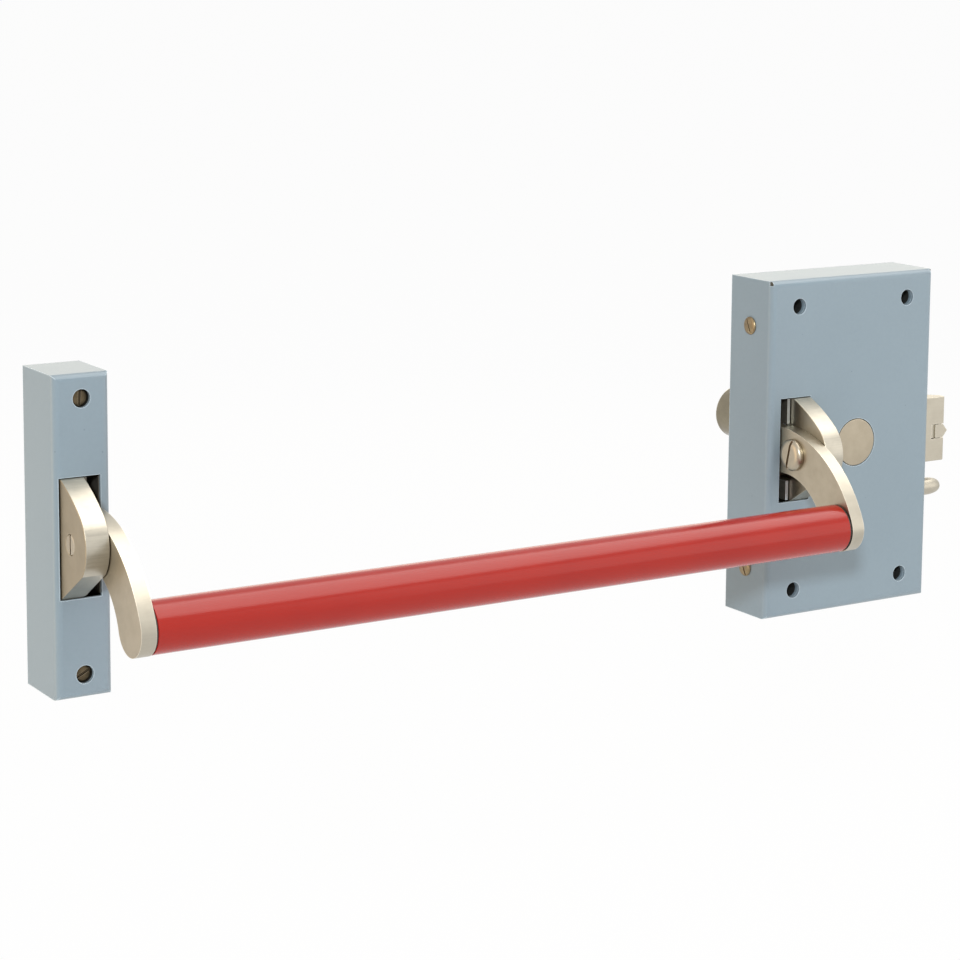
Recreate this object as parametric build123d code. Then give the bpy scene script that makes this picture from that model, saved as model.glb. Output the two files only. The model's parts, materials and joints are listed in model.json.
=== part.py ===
from build123d import *
from math import acos, cos, degrees, radians, sin, sqrt
import os

os.makedirs("parts", exist_ok=True)

# Panic exit lock for the inside of an outward opening door, in millimetres.
# Origin: centre of the lock case's four fixing holes on the door's surface.
# +X runs along the push bar towards the strike, +Y into the door, +Z up.

# Sheet steel and play
sheet = 1.5                 # folded steel of both covers
plate = 3.0                 # back plates
fit_gap = 0.1               # between pieces that are fixed together
play = 0.3                  # between pieces that move past each other
shaft_play = 0.05           # radial play of an axle in its bore
bend_radius = 3.5           # outside of the covers' folded edges
relief = 1.2                # corner relief slits of the covers

# Lock case
case_width = 105.0
case_depth = 33.0
case_height = 172.0
fixing_margin_x = 17.5      # hole centres to the case's sides
fixing_margin_z = 13.5
fixing_hole_radius = 2.75
access_hole_radius = 4.0
sleeve_radius = 5.4
side_screw_depth = 17.0     # behind the front
side_screw_margin = 24.0    # from the case's top and bottom
side_screw_head = 1.4
side_lug = 2.5
side_lug_width = 16.0
side_lug_reach = 6.0        # of a lug in front of its screw
side_screw_head_radius = 4.5
side_screw_radius = 2.0
side_screw_length = 6.0

# Slot that the arm and rocker come out of
slot_width = 19.0
slot_height = 53.0
slot_margin = 7.0           # from the lock case's left side
slot_play = 0.5             # arm and rocker to the slot's edges

# Pivot housing at the other end of the bar
housing_width = 26.0
housing_height = 141.0
housing_slot_margin = 2.2
housing_fixing_margin = 10.5
housing_screw_radius = 2.0
housing_thread_radius = 1.8
housing_screw_head = 2.2
housing_step = 3.0          # depth of the screw's seat behind the sheet
housing_screw_head_radius = 3.7
housing_screw_out = 12.0    # screw standing out of the back into the door
housing_sleeve_radius = 4.9

# Push bar, arms and rockers
arm_span = 367.5            # between the arms' facing sides
arm_thickness = 7.0
tail_thickness = 4.8
rocker_width = 11.0
bar_radius = 11.5
bar_wall = 1.5
bar_reach = 45.5            # bar's centre line in front of the case
bar_z = -30.0
collar_thickness = 1.0
collar_radius = 11.1
arm_end_radius = 11.7
spigot_length = 25.0
arm_top = 12.4              # arm's edges where it leaves the case
arm_bottom = -10.6
arm_crown_radius = 62.0
arm_hollow_radius = 32.0
arm_edge = 0.8
arm_screw_reach = 10.2
arm_screw_z = 0.0
arm_screw_radius = 4.5
arm_screw_head_radius = 8.0
arm_screw_dome = 3.4
arm_screw_slot = 1.6
rocker_shoulder = (25.3, 11.0)
rocker_nose_top = (27.6, 4.0)
rocker_nose_low = (27.2, -4.2)
rocker_chin = (20.5, -13.3)
rocker_rounding = [5, 7, 5, 6]
rocker_top_radius = 24.15
rocker_low_radius = 35.0
toe_z = -28.8               # rest stop behind the sheet
toe_depth = 6.2

# Tilt axis of the bar, inside both housings
pivot_depth = 15.0          # behind the front
pivot_z = 6.0
bar_swing = 14.0            # degrees that the bar can be pushed
axle_radius = 4.0
axle_head_radius = 5.5
axle_head = 1.6
boss_radius = 9.5
thick_arm_radius = 12.5     # the arm is thick beyond this distance from the axis
spring_outer_radius = 7.0
spring_wire = 1.6
spring_length = 5.0

# Cheeks that carry the axle
cheek = 1.6
cheek_half_height = 25.8
notch_depth = 9.6           # room for the thick part of the arm
notch_low = -16.0
notch_high = 13.2
bracket_base = 2.0
bracket_half_height = 18.0

# Latch
latch_travel = 15.5
latch_out = 16.5            # how far the latch stands out of the case
latch_height = 34.0
latch_depth = 7.0           # behind the front
latch_thickness = 17.0
latch_tip = 4.0             # flat at the end of the bevel
latch_body_length = 16.0
tail_depth = 11.0
tail_plate = 3.0
tail_bottom = -3.0
tail_top = 10.0

# Trigger in the latch
trigger_out = 2.2
trigger_top = 2.2
trigger_bottom = -4.8
trigger_length = 5.8        # straight part of the trigger
trigger_depth = 11.6
trigger_stem_radius = 1.5
trigger_room = 2.7          # slot left behind the trigger

# Deadlock plunger
plunger_radius = 4.5
plunger_depth = 9.0
plunger_z = -30.5
plunger_out = 15.0
plunger_travel = 12.0
plunger_collar_radius = 6.0
plunger_rod_radius = 2.5
plunger_tab_x = 26.0
plunger_tab = 2.5

# Drive from the rocker to the latch
lug_radius = 1.5
lug_reach = 10.0            # from the tilt axis
crank_x = -9.0
crank_z = -33.0
crank_depth = 7.0
crank_plate = 3.0
crank_swing = 24.0          # degrees, half to each side of upright
crank_journal_radius = 2.5
crank_hub_radius = 7.0
crank_post_radius = 5.0
latch_pin_radius = 2.5
slide_pin_radius = 1.5
web = 2.0                   # drive slide's two legs
web_width = 8.4
foot_depth = 1.0
stud_radius = 1.5
stud_head_radius = 2.8
stud_depth = 4.0
stud_z = (-9.0, -24.0)
slide_spring_radius = 2.5
slide_spring_length = 14.8

# Lock cylinder through the door
cylinder_x = 3.5
cylinder_radius = 14.0
cylinder_length = 68.5
plug_radius = 7.5
cap_radius = 12.0
cap_gap = 0.35
cap_rim = 1.0
cam_radius = 12.5
cam_hub_radius = 6.0
bush_length = 6.6
bush_radius = 8.0
cam_plate = 4.0
tailpiece_width = 6.0
tailpiece_thickness = 1.8
cylinder_screw_reach = 10.8
cylinder_screw_radius = 2.0

# Sizes that follow
front = -case_depth
sheet_back = front + sheet
case_half = case_width / 2
inner_half = case_half - sheet
fixing_x = case_half - fixing_margin_x
fixing_z = case_height / 2 - fixing_margin_z
side_screw_y = front + side_screw_depth
side_screw_z = case_height / 2 - side_screw_margin
housing_fixing_z = housing_height / 2 - housing_fixing_margin
housing_seat = sheet_back + housing_step
pivot_y = front + pivot_depth
bar_y = front - bar_reach
arm_screw_y = front - arm_screw_reach
cheek_front = sheet_back + play
latch_front = front + latch_depth
latch_back = latch_front + latch_thickness
tail_front = front + tail_depth
tail_back = tail_front + tail_plate
plunger_y = front + plunger_depth
crank_front = front + crank_depth
web_front = sheet_back + play
web_back = web_front + web_width
foot_front = web_front + foot_depth
stud_y = web_front + stud_depth
cam_front = -plate - bush_length - 1.0 - cam_plate
toe_y = sheet_back + play
slot_left = -case_half + slot_margin
slot_right = slot_left + slot_width
arm_left = slot_left + slot_play
arm_right = arm_left + arm_thickness
rocker_right = arm_right + rocker_width
mirror_x = arm_left - arm_span / 2
housing_left = 2 * mirror_x - slot_right - housing_slot_margin
housing_centre = housing_left + housing_width / 2
cheek_left = arm_right - play - cheek
second_cheek_left = rocker_right + 0.4
tail_right = cheek_left - play
lug_drop = lug_reach * sin(radians(bar_swing))
half_swing = radians(crank_swing / 2)
long_arm = latch_travel / 2 / sin(half_swing)
short_arm = lug_drop / 2 / sin(half_swing)
latch_pin_x = crank_x + long_arm * sin(half_swing)
latch_pin_z = crank_z + long_arm * cos(half_swing)
slide_pin_x = crank_x - short_arm * cos(half_swing)
slide_pin_z = crank_z + short_arm * sin(half_swing)
latch_stop = inner_half - 1.0
latch_end = case_half + latch_out
latch_rear = latch_stop - latch_body_length
web_left = second_cheek_left + cheek + play
slide_bottom = slide_pin_z - 4.0
collar_stop = inner_half - 0.5
other_side = Plane(origin=(mirror_x, 0, 0), z_dir=(1, 0, 0))


def block(x0, x1, y0, y1, z0, z1):
    """A box between two corners."""
    centre = Pos((x0 + x1) / 2, (y0 + y1) / 2, (z0 + z1) / 2)
    return centre * Box(x1 - x0, y1 - y0, z1 - z0)


def rod_x(radius, x0, x1, y, z):
    """A round rod along X."""
    return Pos((x0 + x1) / 2, y, z) * Rot(0, 90, 0) * Cylinder(radius, x1 - x0)


def rod_y(radius, y0, y1, x, z):
    """A round rod along Y."""
    return Pos(x, (y0 + y1) / 2, z) * Rot(90, 0, 0) * Cylinder(radius, y1 - y0)


def rod_z(radius, z0, z1, x, y):
    """A round rod along Z."""
    return Pos(x, y, (z0 + z1) / 2) * Cylinder(radius, z1 - z0)


def many_sided(radius, hole=False):
    """A circle drawn with 24 flats, inside its radius, or outside it for a hole."""
    return RegularPolygon(radius, 24, major_radius=not hole)


def peg_x(radius, x0, x1, y, z):
    """A hidden round rod along X."""
    return side_plate(Pos(y, z) * many_sided(radius), x0, x1)


def peg_y(radius, y0, y1, x, z):
    return front_plate(Pos(x, z) * many_sided(radius), y0, y1)


def peg_z(radius, z0, z1, x, y):
    return Pos(x, y, z0) * extrude(many_sided(radius), z1 - z0)


def hole_x(radius, x0, x1, y, z):
    """A hidden round hole along X."""
    return side_plate(Pos(y, z) * many_sided(radius, hole=True), x0, x1)


def hole_y(radius, y0, y1, x, z):
    return front_plate(Pos(x, z) * many_sided(radius, hole=True), y0, y1)


def hole_z(radius, z0, z1, x, y):
    return Pos(x, y, z0) * extrude(many_sided(radius, hole=True), z1 - z0)


def side_plate(face, x0, x1):
    """A face drawn in Y and Z, given its thickness along X."""
    return Pos(x0, 0, 0) * extrude(Plane.YZ * face, x1 - x0)


def front_plate(face, y0, y1):
    """A face drawn in X and Z, given its thickness along Y."""
    return Pos(0, y1, 0) * extrude(Plane.XZ * face, y1 - y0)


def about_pivot(radius, angle):
    """A point in Y and Z at an angle round the tilt axis."""
    return (pivot_y + radius * cos(radians(angle)), pivot_z + radius * sin(radians(angle)))


def crowned_head(radius, height, x, y, z):
    """A raised screw head whose flat side lies at x and whose crown points to -X."""
    profile = Polyline((0, 0), (-height, 0), (-height, 0.45 * radius), (-0.3 * height, radius),
                       (0, radius), (0, 0))
    return Pos(x, y, z) * revolve(make_face(profile), Axis.X)


# Covers and back plates

def folded_block(x0, x1, y0, y1, z, radius):
    """A block whose front edges are rounded and meet in mitred corners."""
    box = block(x0, x1, y0, y1, -z, z)
    upright = fillet(box.edges().filter_by(Axis.Z).sort_by(Axis.Y)[:2], radius)
    level = fillet(box.edges().filter_by(Axis.X).sort_by(Axis.Y)[:2], radius)
    return upright & level


def folded_cover(x0, x1, height):
    """A sheet steel cover folded back along its four front edges."""
    z = height / 2
    cover = folded_block(x0, x1, front, 0, z, bend_radius)
    cover -= folded_block(x0 + sheet, x1 - sheet, sheet_back, 1, z - sheet, bend_radius - sheet)
    corner = bend_radius / 2
    for x in (x0 + corner, x1 - corner):
        for edge_z in (-z + corner, z - corner):
            cover -= block(x - relief / 2, x + relief / 2, front - 1, sheet_back + 1,
                           edge_z - relief / 2, edge_z + relief / 2)
    return cover


def hex_sleeve(across, bore, y0, y1, x, z):
    """A hexagonal spacer with a round bore along Y."""
    face = Pos(x, z) * RegularPolygon(across, 6, major_radius=False)
    return front_plate(face, y0, y1) - hole_y(bore, y0 - 1, y1 + 1, x, z)


def arm_slot(x0, x1):
    """The opening that an arm and its rocker come out of."""
    return block(x0, x1, front - 1, sheet_back + 1, -slot_height / 2, slot_height / 2)


def fixing_places():
    """Centres in X and Z of the lock case's four fixing holes."""
    return [(x, z) for x in (-fixing_x, fixing_x) for z in (-fixing_z, fixing_z)]


def make_lock_case_cover():
    cover = folded_cover(-case_half, case_half, case_height)
    cover -= arm_slot(slot_left, slot_right)
    for x, z in fixing_places():
        cover -= rod_y(access_hole_radius, front - 1, sheet_back + 1, x, z)
    cover -= rod_y(cap_radius + cap_gap, front - 1, sheet_back + 1, cylinder_x, 0)
    cover -= block(inner_half - 1, case_half + 1, latch_front - play, latch_back + play,
                   -latch_height / 2 - play, latch_height / 2 + play)
    cover -= hole_x(plunger_radius + play / 2, inner_half - 1, case_half + 1, plunger_y, plunger_z)
    for z in (-side_screw_z, side_screw_z):
        cover -= hole_x(side_screw_radius + fit_gap, -case_half - 1, case_half + 1,
                        side_screw_y, z)
    return cover


def make_lock_back_plate():
    """Plate with four lugs for the side screws, a spring seat and the plunger's guide."""
    edge = inner_half - fit_gap
    top = case_height / 2 - sheet - fit_gap
    back = block(-edge, edge, -plate, 0, -top, top)
    for x, z in fixing_places():
        back -= rod_y(fixing_hole_radius, -plate - 1, 1, x, z)
    back -= hole_y(tailpiece_width, -plate - 1, 1, cylinder_x, 0)
    for z in (-cylinder_screw_reach, cylinder_screw_reach):
        back -= hole_y(cylinder_screw_radius + shaft_play, -plate - 1, 1, cylinder_x, z)
    for z in (-side_screw_z, side_screw_z):
        for side in (-1, 1):
            lug = block(edge - side_lug, edge, side_screw_y - side_lug_reach, -plate,
                        z - side_lug_width / 2, z + side_lug_width / 2)
            lug -= hole_x(side_screw_radius + fit_gap, edge - 4, edge + 1, side_screw_y, z)
            back += lug if side > 0 else mirror(lug, about=Plane.YZ)
    seat_top = slide_bottom - slide_spring_length
    back += block(web_left, web_left + 8, cheek_front, -plate, seat_top - 2, seat_top)
    guide = block(plunger_tab_x, plunger_tab_x + plunger_tab, plunger_y - 6, -plate,
                  plunger_z - 7, plunger_z + 6)
    guide -= hole_x(plunger_rod_radius + shaft_play, plunger_tab_x - 1,
                    plunger_tab_x + plunger_tab + 1, plunger_y, plunger_z)
    return back + guide


def make_cover_screws():
    """Four brass screws, two in each side of the lock case."""
    screws = []
    for z in (-side_screw_z, side_screw_z):
        head_x = -case_half - side_screw_head
        screw = peg_x(side_screw_head_radius, head_x, -case_half, side_screw_y, z)
        screw += peg_x(side_screw_radius, -case_half, -case_half + side_screw_length,
                       side_screw_y, z)
        screw -= block(head_x - 1, head_x + 0.7, side_screw_y - 0.5, side_screw_y + 0.5,
                       z - side_screw_head_radius, z + side_screw_head_radius)
        screws += [screw, mirror(screw, about=Plane.YZ)]
    return Compound(children=[one.solid() for one in screws])


def make_mounting_sleeves():
    """Four hexagonal spacers between cover and back plate at the fixing holes."""
    sleeves = [hex_sleeve(sleeve_radius, access_hole_radius, sheet_back, -plate, x, z)
               for x, z in fixing_places()]
    return Compound(children=[one.solid() for one in sleeves])


def make_cylinder_hole_cap():
    """Round cap that closes the cover's hole over the cylinder."""
    cap = rod_y(cap_radius, front, sheet_back, cylinder_x, 0)
    cap = chamfer(cap.faces().sort_by(Axis.Y)[0].edges(), 0.4)
    cap += peg_y(cap_radius + 2, sheet_back, sheet_back + cap_rim, cylinder_x, 0)
    return cap


def make_pivot_housing_cover():
    cover = folded_cover(housing_left, housing_left + housing_width, housing_height)
    cover -= mirror(arm_slot(slot_left, slot_right), about=other_side)
    for z in (-housing_fixing_z, housing_fixing_z):
        cover -= rod_y(access_hole_radius, front - 1, sheet_back + 1, housing_centre, z)
    return cover


def make_pivot_back_plate():
    left = housing_left + sheet + fit_gap
    right = housing_left + housing_width - sheet - fit_gap
    top = housing_height / 2 - sheet - fit_gap
    back = block(left, right, -plate, 0, -top, top)
    for z in (-housing_fixing_z, housing_fixing_z):
        back -= hole_y(housing_screw_radius + fit_gap, -plate - 1, 1, housing_centre, z)
    return back


def make_pivot_sleeves():
    """Two hexagonal spacers whose stepped bores seat the housing's screws."""
    sleeves = []
    for z in (-housing_fixing_z, housing_fixing_z):
        sleeve = hex_sleeve(housing_sleeve_radius, housing_screw_radius + fit_gap, sheet_back,
                            -plate, housing_centre, z)
        sleeve -= hole_y(access_hole_radius, sheet_back - 1, housing_seat, housing_centre, z)
        sleeves.append(sleeve)
    return Compound(children=[one.solid() for one in sleeves])


def make_pivot_housing_screws():
    """Two slotted brass screws through the pivot housing into the door."""
    screws = []
    head_top = housing_seat - housing_screw_head
    for z in (-housing_fixing_z, housing_fixing_z):
        screw = peg_y(housing_screw_head_radius, head_top, housing_seat, housing_centre, z)
        screw -= block(housing_centre - 0.5, housing_centre + 0.5, head_top - 1, head_top + 1,
                       z - housing_screw_head_radius, z + housing_screw_head_radius)
        screw += peg_y(housing_screw_radius, housing_seat, 0, housing_centre, z)
        screw += rod_y(housing_thread_radius, 0, housing_screw_out, housing_centre, z)
        screws.append(screw)
    return Compound(children=[one.solid() for one in screws])


# Brackets, axles and return springs

def axle_bore(gap):
    """The bore for the axle, in a face drawn in Y and Z."""
    return Pos(pivot_y, pivot_z) * many_sided(axle_radius + gap, hole=True)


def cheek_face(notched):
    """A cheek seen from the side, with room in front for the thick part of the arm."""
    depth = -plate - bracket_base - cheek_front
    centre_y = cheek_front + depth / 2
    face = Pos(centre_y, 0) * Rectangle(depth, 2 * cheek_half_height)
    if notched:
        room = Pos(cheek_front, (notch_low + notch_high) / 2) * Rectangle(
            2 * notch_depth, notch_high - notch_low)
        face -= room - Pos(pivot_y, pivot_z) * Circle(thick_arm_radius - 0.4)
    return face - axle_bore(fit_gap / 2)


def make_lock_bracket():
    """Two cheeks on a base: one between arm and rocker, one right of the rocker."""
    bracket = side_plate(cheek_face(True), cheek_left, cheek_left + cheek)
    second = side_plate(cheek_face(False), second_cheek_left, second_cheek_left + cheek)
    lug_room = block(second_cheek_left - 1, second_cheek_left + cheek + 1, cheek_front - 1,
                     pivot_y - lug_reach * cos(radians(bar_swing)) + lug_radius + play,
                     pivot_z - lug_drop - lug_radius - play, pivot_z + lug_radius + play)
    second -= lug_room
    for z in stud_z:
        second -= hole_x(stud_radius + 0.02, second_cheek_left - 1,
                         second_cheek_left + cheek + 1, stud_y, z)
    base = block(cheek_left, second_cheek_left + cheek, -plate - bracket_base, -plate,
                 -bracket_half_height, bracket_half_height)
    return bracket + second + base


def make_pivot_bracket():
    """Two cheeks on a base, either side of the arm's tail."""
    inner = side_plate(cheek_face(True), cheek_left, cheek_left + cheek)
    outer_left = arm_left - play - cheek
    outer = side_plate(cheek_face(False), outer_left, outer_left + cheek)
    base = block(outer_left, cheek_left + cheek, -plate - bracket_base, -plate,
                 -bracket_half_height, bracket_half_height)
    return mirror(inner + outer + base, about=other_side)


def make_axle(x0, x1):
    """Axle with a head at its left end."""
    axle = rod_x(axle_radius, x0, x1, pivot_y, pivot_z)
    head = peg_x(axle_head_radius, x0 - axle_head, x0, pivot_y, pivot_z)
    return axle + head


def make_torsion_spring():
    """Return spring round the axle, in the rocker's pocket."""
    end = rocker_right - play
    tube = peg_x(spring_outer_radius, end - spring_length, end, pivot_y, pivot_z)
    return tube - hole_x(spring_outer_radius - spring_wire, end - spring_length - 1, end + 1,
                         pivot_y, pivot_z)


# Push bar, arms and rockers

def arm_edge_line(start_z, radius, crown):
    """An arc from the case's front that runs smoothly into the round end at the bar."""
    start = Vector(front, start_z)
    bar = Vector(bar_y, bar_z)
    reach = radius - arm_end_radius if crown else radius + arm_end_radius
    span = (bar - start).length
    along = (radius ** 2 - reach ** 2 + span ** 2) / (2 * span)
    aside = sqrt(radius ** 2 - along ** 2)
    course = (bar - start).normalized()
    centre = start + course * along + Vector(course.Y, -course.X) * -aside
    turn = bar + (centre - bar).normalized() * (-arm_end_radius if crown else arm_end_radius)
    middle = centre + ((start - centre) + (turn - centre)).normalized() * radius
    return ThreePointArc(start, middle, turn)


def arm_outline():
    """The arm seen from the side, from the case's front to the bar."""
    upper = arm_edge_line(arm_top, arm_crown_radius, True)
    lower = arm_edge_line(arm_bottom, arm_hollow_radius, False)
    end = ThreePointArc(upper @ 1, (bar_y, bar_z - arm_end_radius), lower @ 1)
    front_top = (front, arm_top)
    front_bottom = (front, arm_bottom)
    inside = Polyline(front_bottom, (sheet_back, arm_bottom), about_pivot(thick_arm_radius, 235),
                      (pivot_y, pivot_z), about_pivot(thick_arm_radius, 163), front_top)
    return make_face(upper + end + lower + inside)


def arm_tail_outline():
    """The thin tail with the eye that turns on the axle."""
    top = about_pivot(boss_radius, 98)
    back = about_pivot(boss_radius, 310)
    neck_top = (sheet_back, arm_top)
    neck_bottom = (sheet_back, arm_bottom)
    tail = make_face(Polyline(neck_top, top, back, neck_bottom, neck_top))
    tail += Pos(pivot_y, pivot_z) * Circle(boss_radius)
    return tail - axle_bore(shaft_play)


def make_lock_arm():
    """Curved arm with a spigot for the bar and a thin tail inside the case."""
    thick = arm_outline() - Pos(pivot_y, pivot_z) * Circle(thick_arm_radius)
    arm = side_plate(thick, arm_left, arm_right)
    outer_edges = arm.edges().filter_by(Plane.YZ).filter_by(
        lambda edge: edge.center().Y < front - 1)
    arm = chamfer(outer_edges, arm_edge)
    arm += side_plate(arm_tail_outline(), arm_left, tail_right)
    arm += peg_x(bar_radius - bar_wall - fit_gap, arm_left - spigot_length, arm_left, bar_y, bar_z)
    arm -= hole_x(arm_screw_radius + shaft_play, arm_left - 1, arm_right + 1, arm_screw_y,
                  arm_screw_z)
    return arm


def rocker_outline():
    """The rocker seen from the side: nose outside, two arcs about the axis inside."""
    reach = toe_y - pivot_y
    top_angle = degrees(acos(reach / rocker_top_radius))
    low_angle = 360 - degrees(acos(reach / rocker_low_radius))
    nose_angle = low_angle - bar_swing - 2.5
    corners = [(front - out, z) for out, z in (rocker_shoulder, rocker_nose_top, rocker_nose_low,
                                               rocker_chin)]
    top_start = about_pivot(rocker_top_radius, top_angle - bar_swing - 2)
    top_end = about_pivot(rocker_top_radius, top_angle)
    top = ThreePointArc(top_start, about_pivot(rocker_top_radius, top_angle - 9), top_end)
    slope_end = about_pivot(rocker_low_radius, nose_angle)
    nose = FilletPolyline(top_end, *corners, slope_end, radius=rocker_rounding)
    low_end = about_pivot(rocker_low_radius, low_angle)
    low = ThreePointArc(slope_end, about_pivot(rocker_low_radius, low_angle - 8), low_end)
    inside = Polyline(low_end, (toe_y, toe_z), (toe_y + toe_depth, toe_z),
                      about_pivot(boss_radius, 320), about_pivot(boss_radius, 40), top_start)
    return make_face(top + nose + low + inside)


def make_rocker():
    """Rocker with the pocket for its return spring and the bore for the axle."""
    face = rocker_outline() + Pos(pivot_y, pivot_z) * Circle(boss_radius)
    rocker = side_plate(face - axle_bore(shaft_play), arm_right, rocker_right)
    pocket_left = rocker_right - play - spring_length - play
    rocker -= hole_x(spring_outer_radius + 0.5, pocket_left, rocker_right + 1, pivot_y, pivot_z)
    rocker -= hole_x(arm_screw_radius + shaft_play, arm_right - 1, rocker_right + 1,
                     arm_screw_y, arm_screw_z)
    return rocker


def make_arm_screw():
    """Domed screw that joins arm and rocker, slotted at both ends."""
    screw = crowned_head(arm_screw_head_radius, arm_screw_dome, arm_left, arm_screw_y,
                         arm_screw_z)
    screw += rod_x(arm_screw_radius, arm_left, rocker_right, arm_screw_y, arm_screw_z)
    head_slot = Pos(arm_left - arm_screw_dome, arm_screw_y, arm_screw_z) * Rot(13, 0, 0) * Box(
        2.4, arm_screw_slot, 3 * arm_screw_head_radius)
    end_slot = block(rocker_right - 1.2, rocker_right + 1, arm_screw_y - 0.6, arm_screw_y + 0.6,
                     arm_screw_z - arm_screw_radius, arm_screw_z + arm_screw_radius)
    return screw - head_slot - end_slot


def make_push_bar_tube():
    x0 = 2 * mirror_x - arm_left + collar_thickness
    x1 = arm_left - collar_thickness
    tube = rod_x(bar_radius, x0, x1, bar_y, bar_z)
    return tube - hole_x(bar_radius - bar_wall, x0 - 1, x1 + 1, bar_y, bar_z)


def make_bar_end_collars():
    """Two dark rings between the bar and its arms."""
    ring = rod_x(collar_radius, arm_left - collar_thickness, arm_left, bar_y, bar_z)
    ring -= hole_x(bar_radius - bar_wall, arm_left - collar_thickness - 1, arm_left + 1,
                   bar_y, bar_z)
    return Compound(children=[ring.solid(), mirror(ring, about=other_side).solid()])


def make_drive_lug():
    """Pin in the rocker's side that moves the drive slide."""
    return peg_x(lug_radius, rocker_right, web_left + web + 0.6, pivot_y - lug_reach, pivot_z)


# Drive from the rocker to the latch

def make_drive_slide():
    """Bent slide behind the cover: a web on the cheek and a foot for the crank."""
    slide_top = pivot_z + lug_radius + 4.0
    slide = block(web_left, web_left + web, web_front, web_back, slide_bottom, slide_top)
    slide -= block(web_left - 1, web_left + web + 1, web_front - 1,
                   pivot_y - lug_reach * cos(radians(bar_swing)) + lug_radius + play,
                   pivot_z - lug_radius - 0.15, pivot_z + lug_radius + 0.15)
    for z in stud_z:
        slot = Pos(stud_y, z + lug_drop / 2) * Rot(0, 0, 90) * SlotCenterToCenter(
            lug_drop + 0.4, 2 * stud_radius + 0.3)
        slide -= side_plate(slot, web_left - 1, web_left + web + 1)
    foot_right = slide_pin_x + slide_pin_radius + 2.4
    foot = block(web_left, foot_right, foot_front, foot_front + web, slide_bottom,
                 slide_pin_z + 4.5)
    reach = short_arm * (1 - cos(half_swing))
    slot = Pos(slide_pin_x - reach / 2, slide_pin_z) * SlotCenterToCenter(
        reach + 0.5, 2 * slide_pin_radius + 0.3)
    foot -= front_plate(slot, foot_front - 1, foot_front + web + 1)
    return slide + foot


def make_slide_studs():
    """Two headed studs in the cheek that guide the drive slide."""
    studs = []
    head = web_left + web + play
    for z in stud_z:
        stud = peg_x(stud_radius, second_cheek_left, head, stud_y, z)
        studs.append(stud + peg_x(stud_head_radius, head, head + 1, stud_y, z))
    return Compound(children=[one.solid() for one in studs])


def make_slide_spring():
    """Spring below the drive slide that lifts it again."""
    bottom = slide_bottom - slide_spring_length
    x = web_left + 4
    y = foot_front + web / 2 + 0.6
    tube = peg_z(slide_spring_radius, bottom, slide_bottom, x, y)
    return tube - hole_z(slide_spring_radius - 0.7, bottom - 1, slide_bottom + 1, x, y)


def crank_link(end, end_radius, hub_radius):
    """One arm of the crank, as the hull of its hub and its end."""
    rounds = (Pos(crank_x, crank_z) * Circle(hub_radius)).edges()
    rounds += (Pos(*end) * Circle(end_radius)).edges()
    return make_hull(rounds)


def make_bell_crank():
    """Flat crank with a long arm up to the latch and a short arm to the slide."""
    latch_pin = (latch_pin_x, latch_pin_z)
    slide_pin = (slide_pin_x, slide_pin_z)
    face = crank_link(latch_pin, 5.0, crank_hub_radius)
    face += crank_link(slide_pin, 3.4, crank_hub_radius - 1)
    crank = front_plate(face, crank_front, crank_front + crank_plate)
    holes = [(crank_x, crank_z, crank_journal_radius + shaft_play),
             (latch_pin_x, latch_pin_z, latch_pin_radius + 0.02),
             (slide_pin_x, slide_pin_z, slide_pin_radius + 0.02)]
    for x, z, radius in holes:
        crank -= hole_y(radius, crank_front - 1, crank_front + crank_plate + 1, x, z)
    return crank


def make_crank_pins():
    """Pin that moves the latch tail, and pin that the slide moves."""
    latch_pin = peg_y(latch_pin_radius, crank_front, tail_back + 0.6, latch_pin_x, latch_pin_z)
    slide_pin = peg_y(slide_pin_radius, foot_front - 0.6, crank_front + crank_plate, slide_pin_x,
                      slide_pin_z)
    return Compound(children=[latch_pin.solid(), slide_pin.solid()])


def make_crank_post():
    """Shouldered post on the back plate that the crank turns on."""
    shoulder = crank_front + crank_plate + play
    head = crank_front - play
    post = peg_y(crank_post_radius, shoulder, -plate, crank_x, crank_z)
    post += rod_y(crank_journal_radius, head, shoulder, crank_x, crank_z)
    return post + peg_y(4.0, head - 1.4, head, crank_x, crank_z)


# Latch, trigger and plunger

def make_latch_bolt():
    """Latch with a flat front, a bevelled back and a slot for its trigger."""
    half = latch_height / 2
    body = block(latch_rear, latch_stop, latch_front, -plate - play, -half, half)
    nose_face = make_face(Polyline(
        (latch_stop, latch_front), (latch_end, latch_front), (latch_end, latch_front + latch_tip),
        (case_half + 1.5, latch_back), (latch_stop, latch_back), (latch_stop, latch_front)))
    nose = Pos(0, 0, -half) * extrude(nose_face, latch_height)
    bolt = body + nose
    slot_rear = latch_end + trigger_out - 2.2 - trigger_length - trigger_room
    bolt -= block(slot_rear, latch_end + 1, latch_front - 1, latch_front + trigger_depth + play,
                  trigger_bottom - play, trigger_top + play)
    bolt -= hole_x(trigger_stem_radius + shaft_play, slot_rear - 9.5, slot_rear + 1,
                   trigger_stem_y, trigger_mid)
    return bolt


trigger_mid = (trigger_top + trigger_bottom) / 2
trigger_stem_y = latch_front + trigger_depth / 2


def make_latch_trigger():
    """Sprung trigger with a pointed end just beyond the latch."""
    rear = latch_end - trigger_length
    point = latch_end + trigger_out
    face = make_face(Polyline(
        (rear, trigger_bottom), (latch_end - 0.6, trigger_bottom), (point, trigger_mid),
        (latch_end - 0.6, trigger_top), (rear, trigger_top), (rear, trigger_bottom)))
    trigger = front_plate(face, latch_front, latch_front + trigger_depth)
    trigger += peg_x(trigger_stem_radius, rear - 9, rear, trigger_stem_y, trigger_mid)
    return trigger


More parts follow.
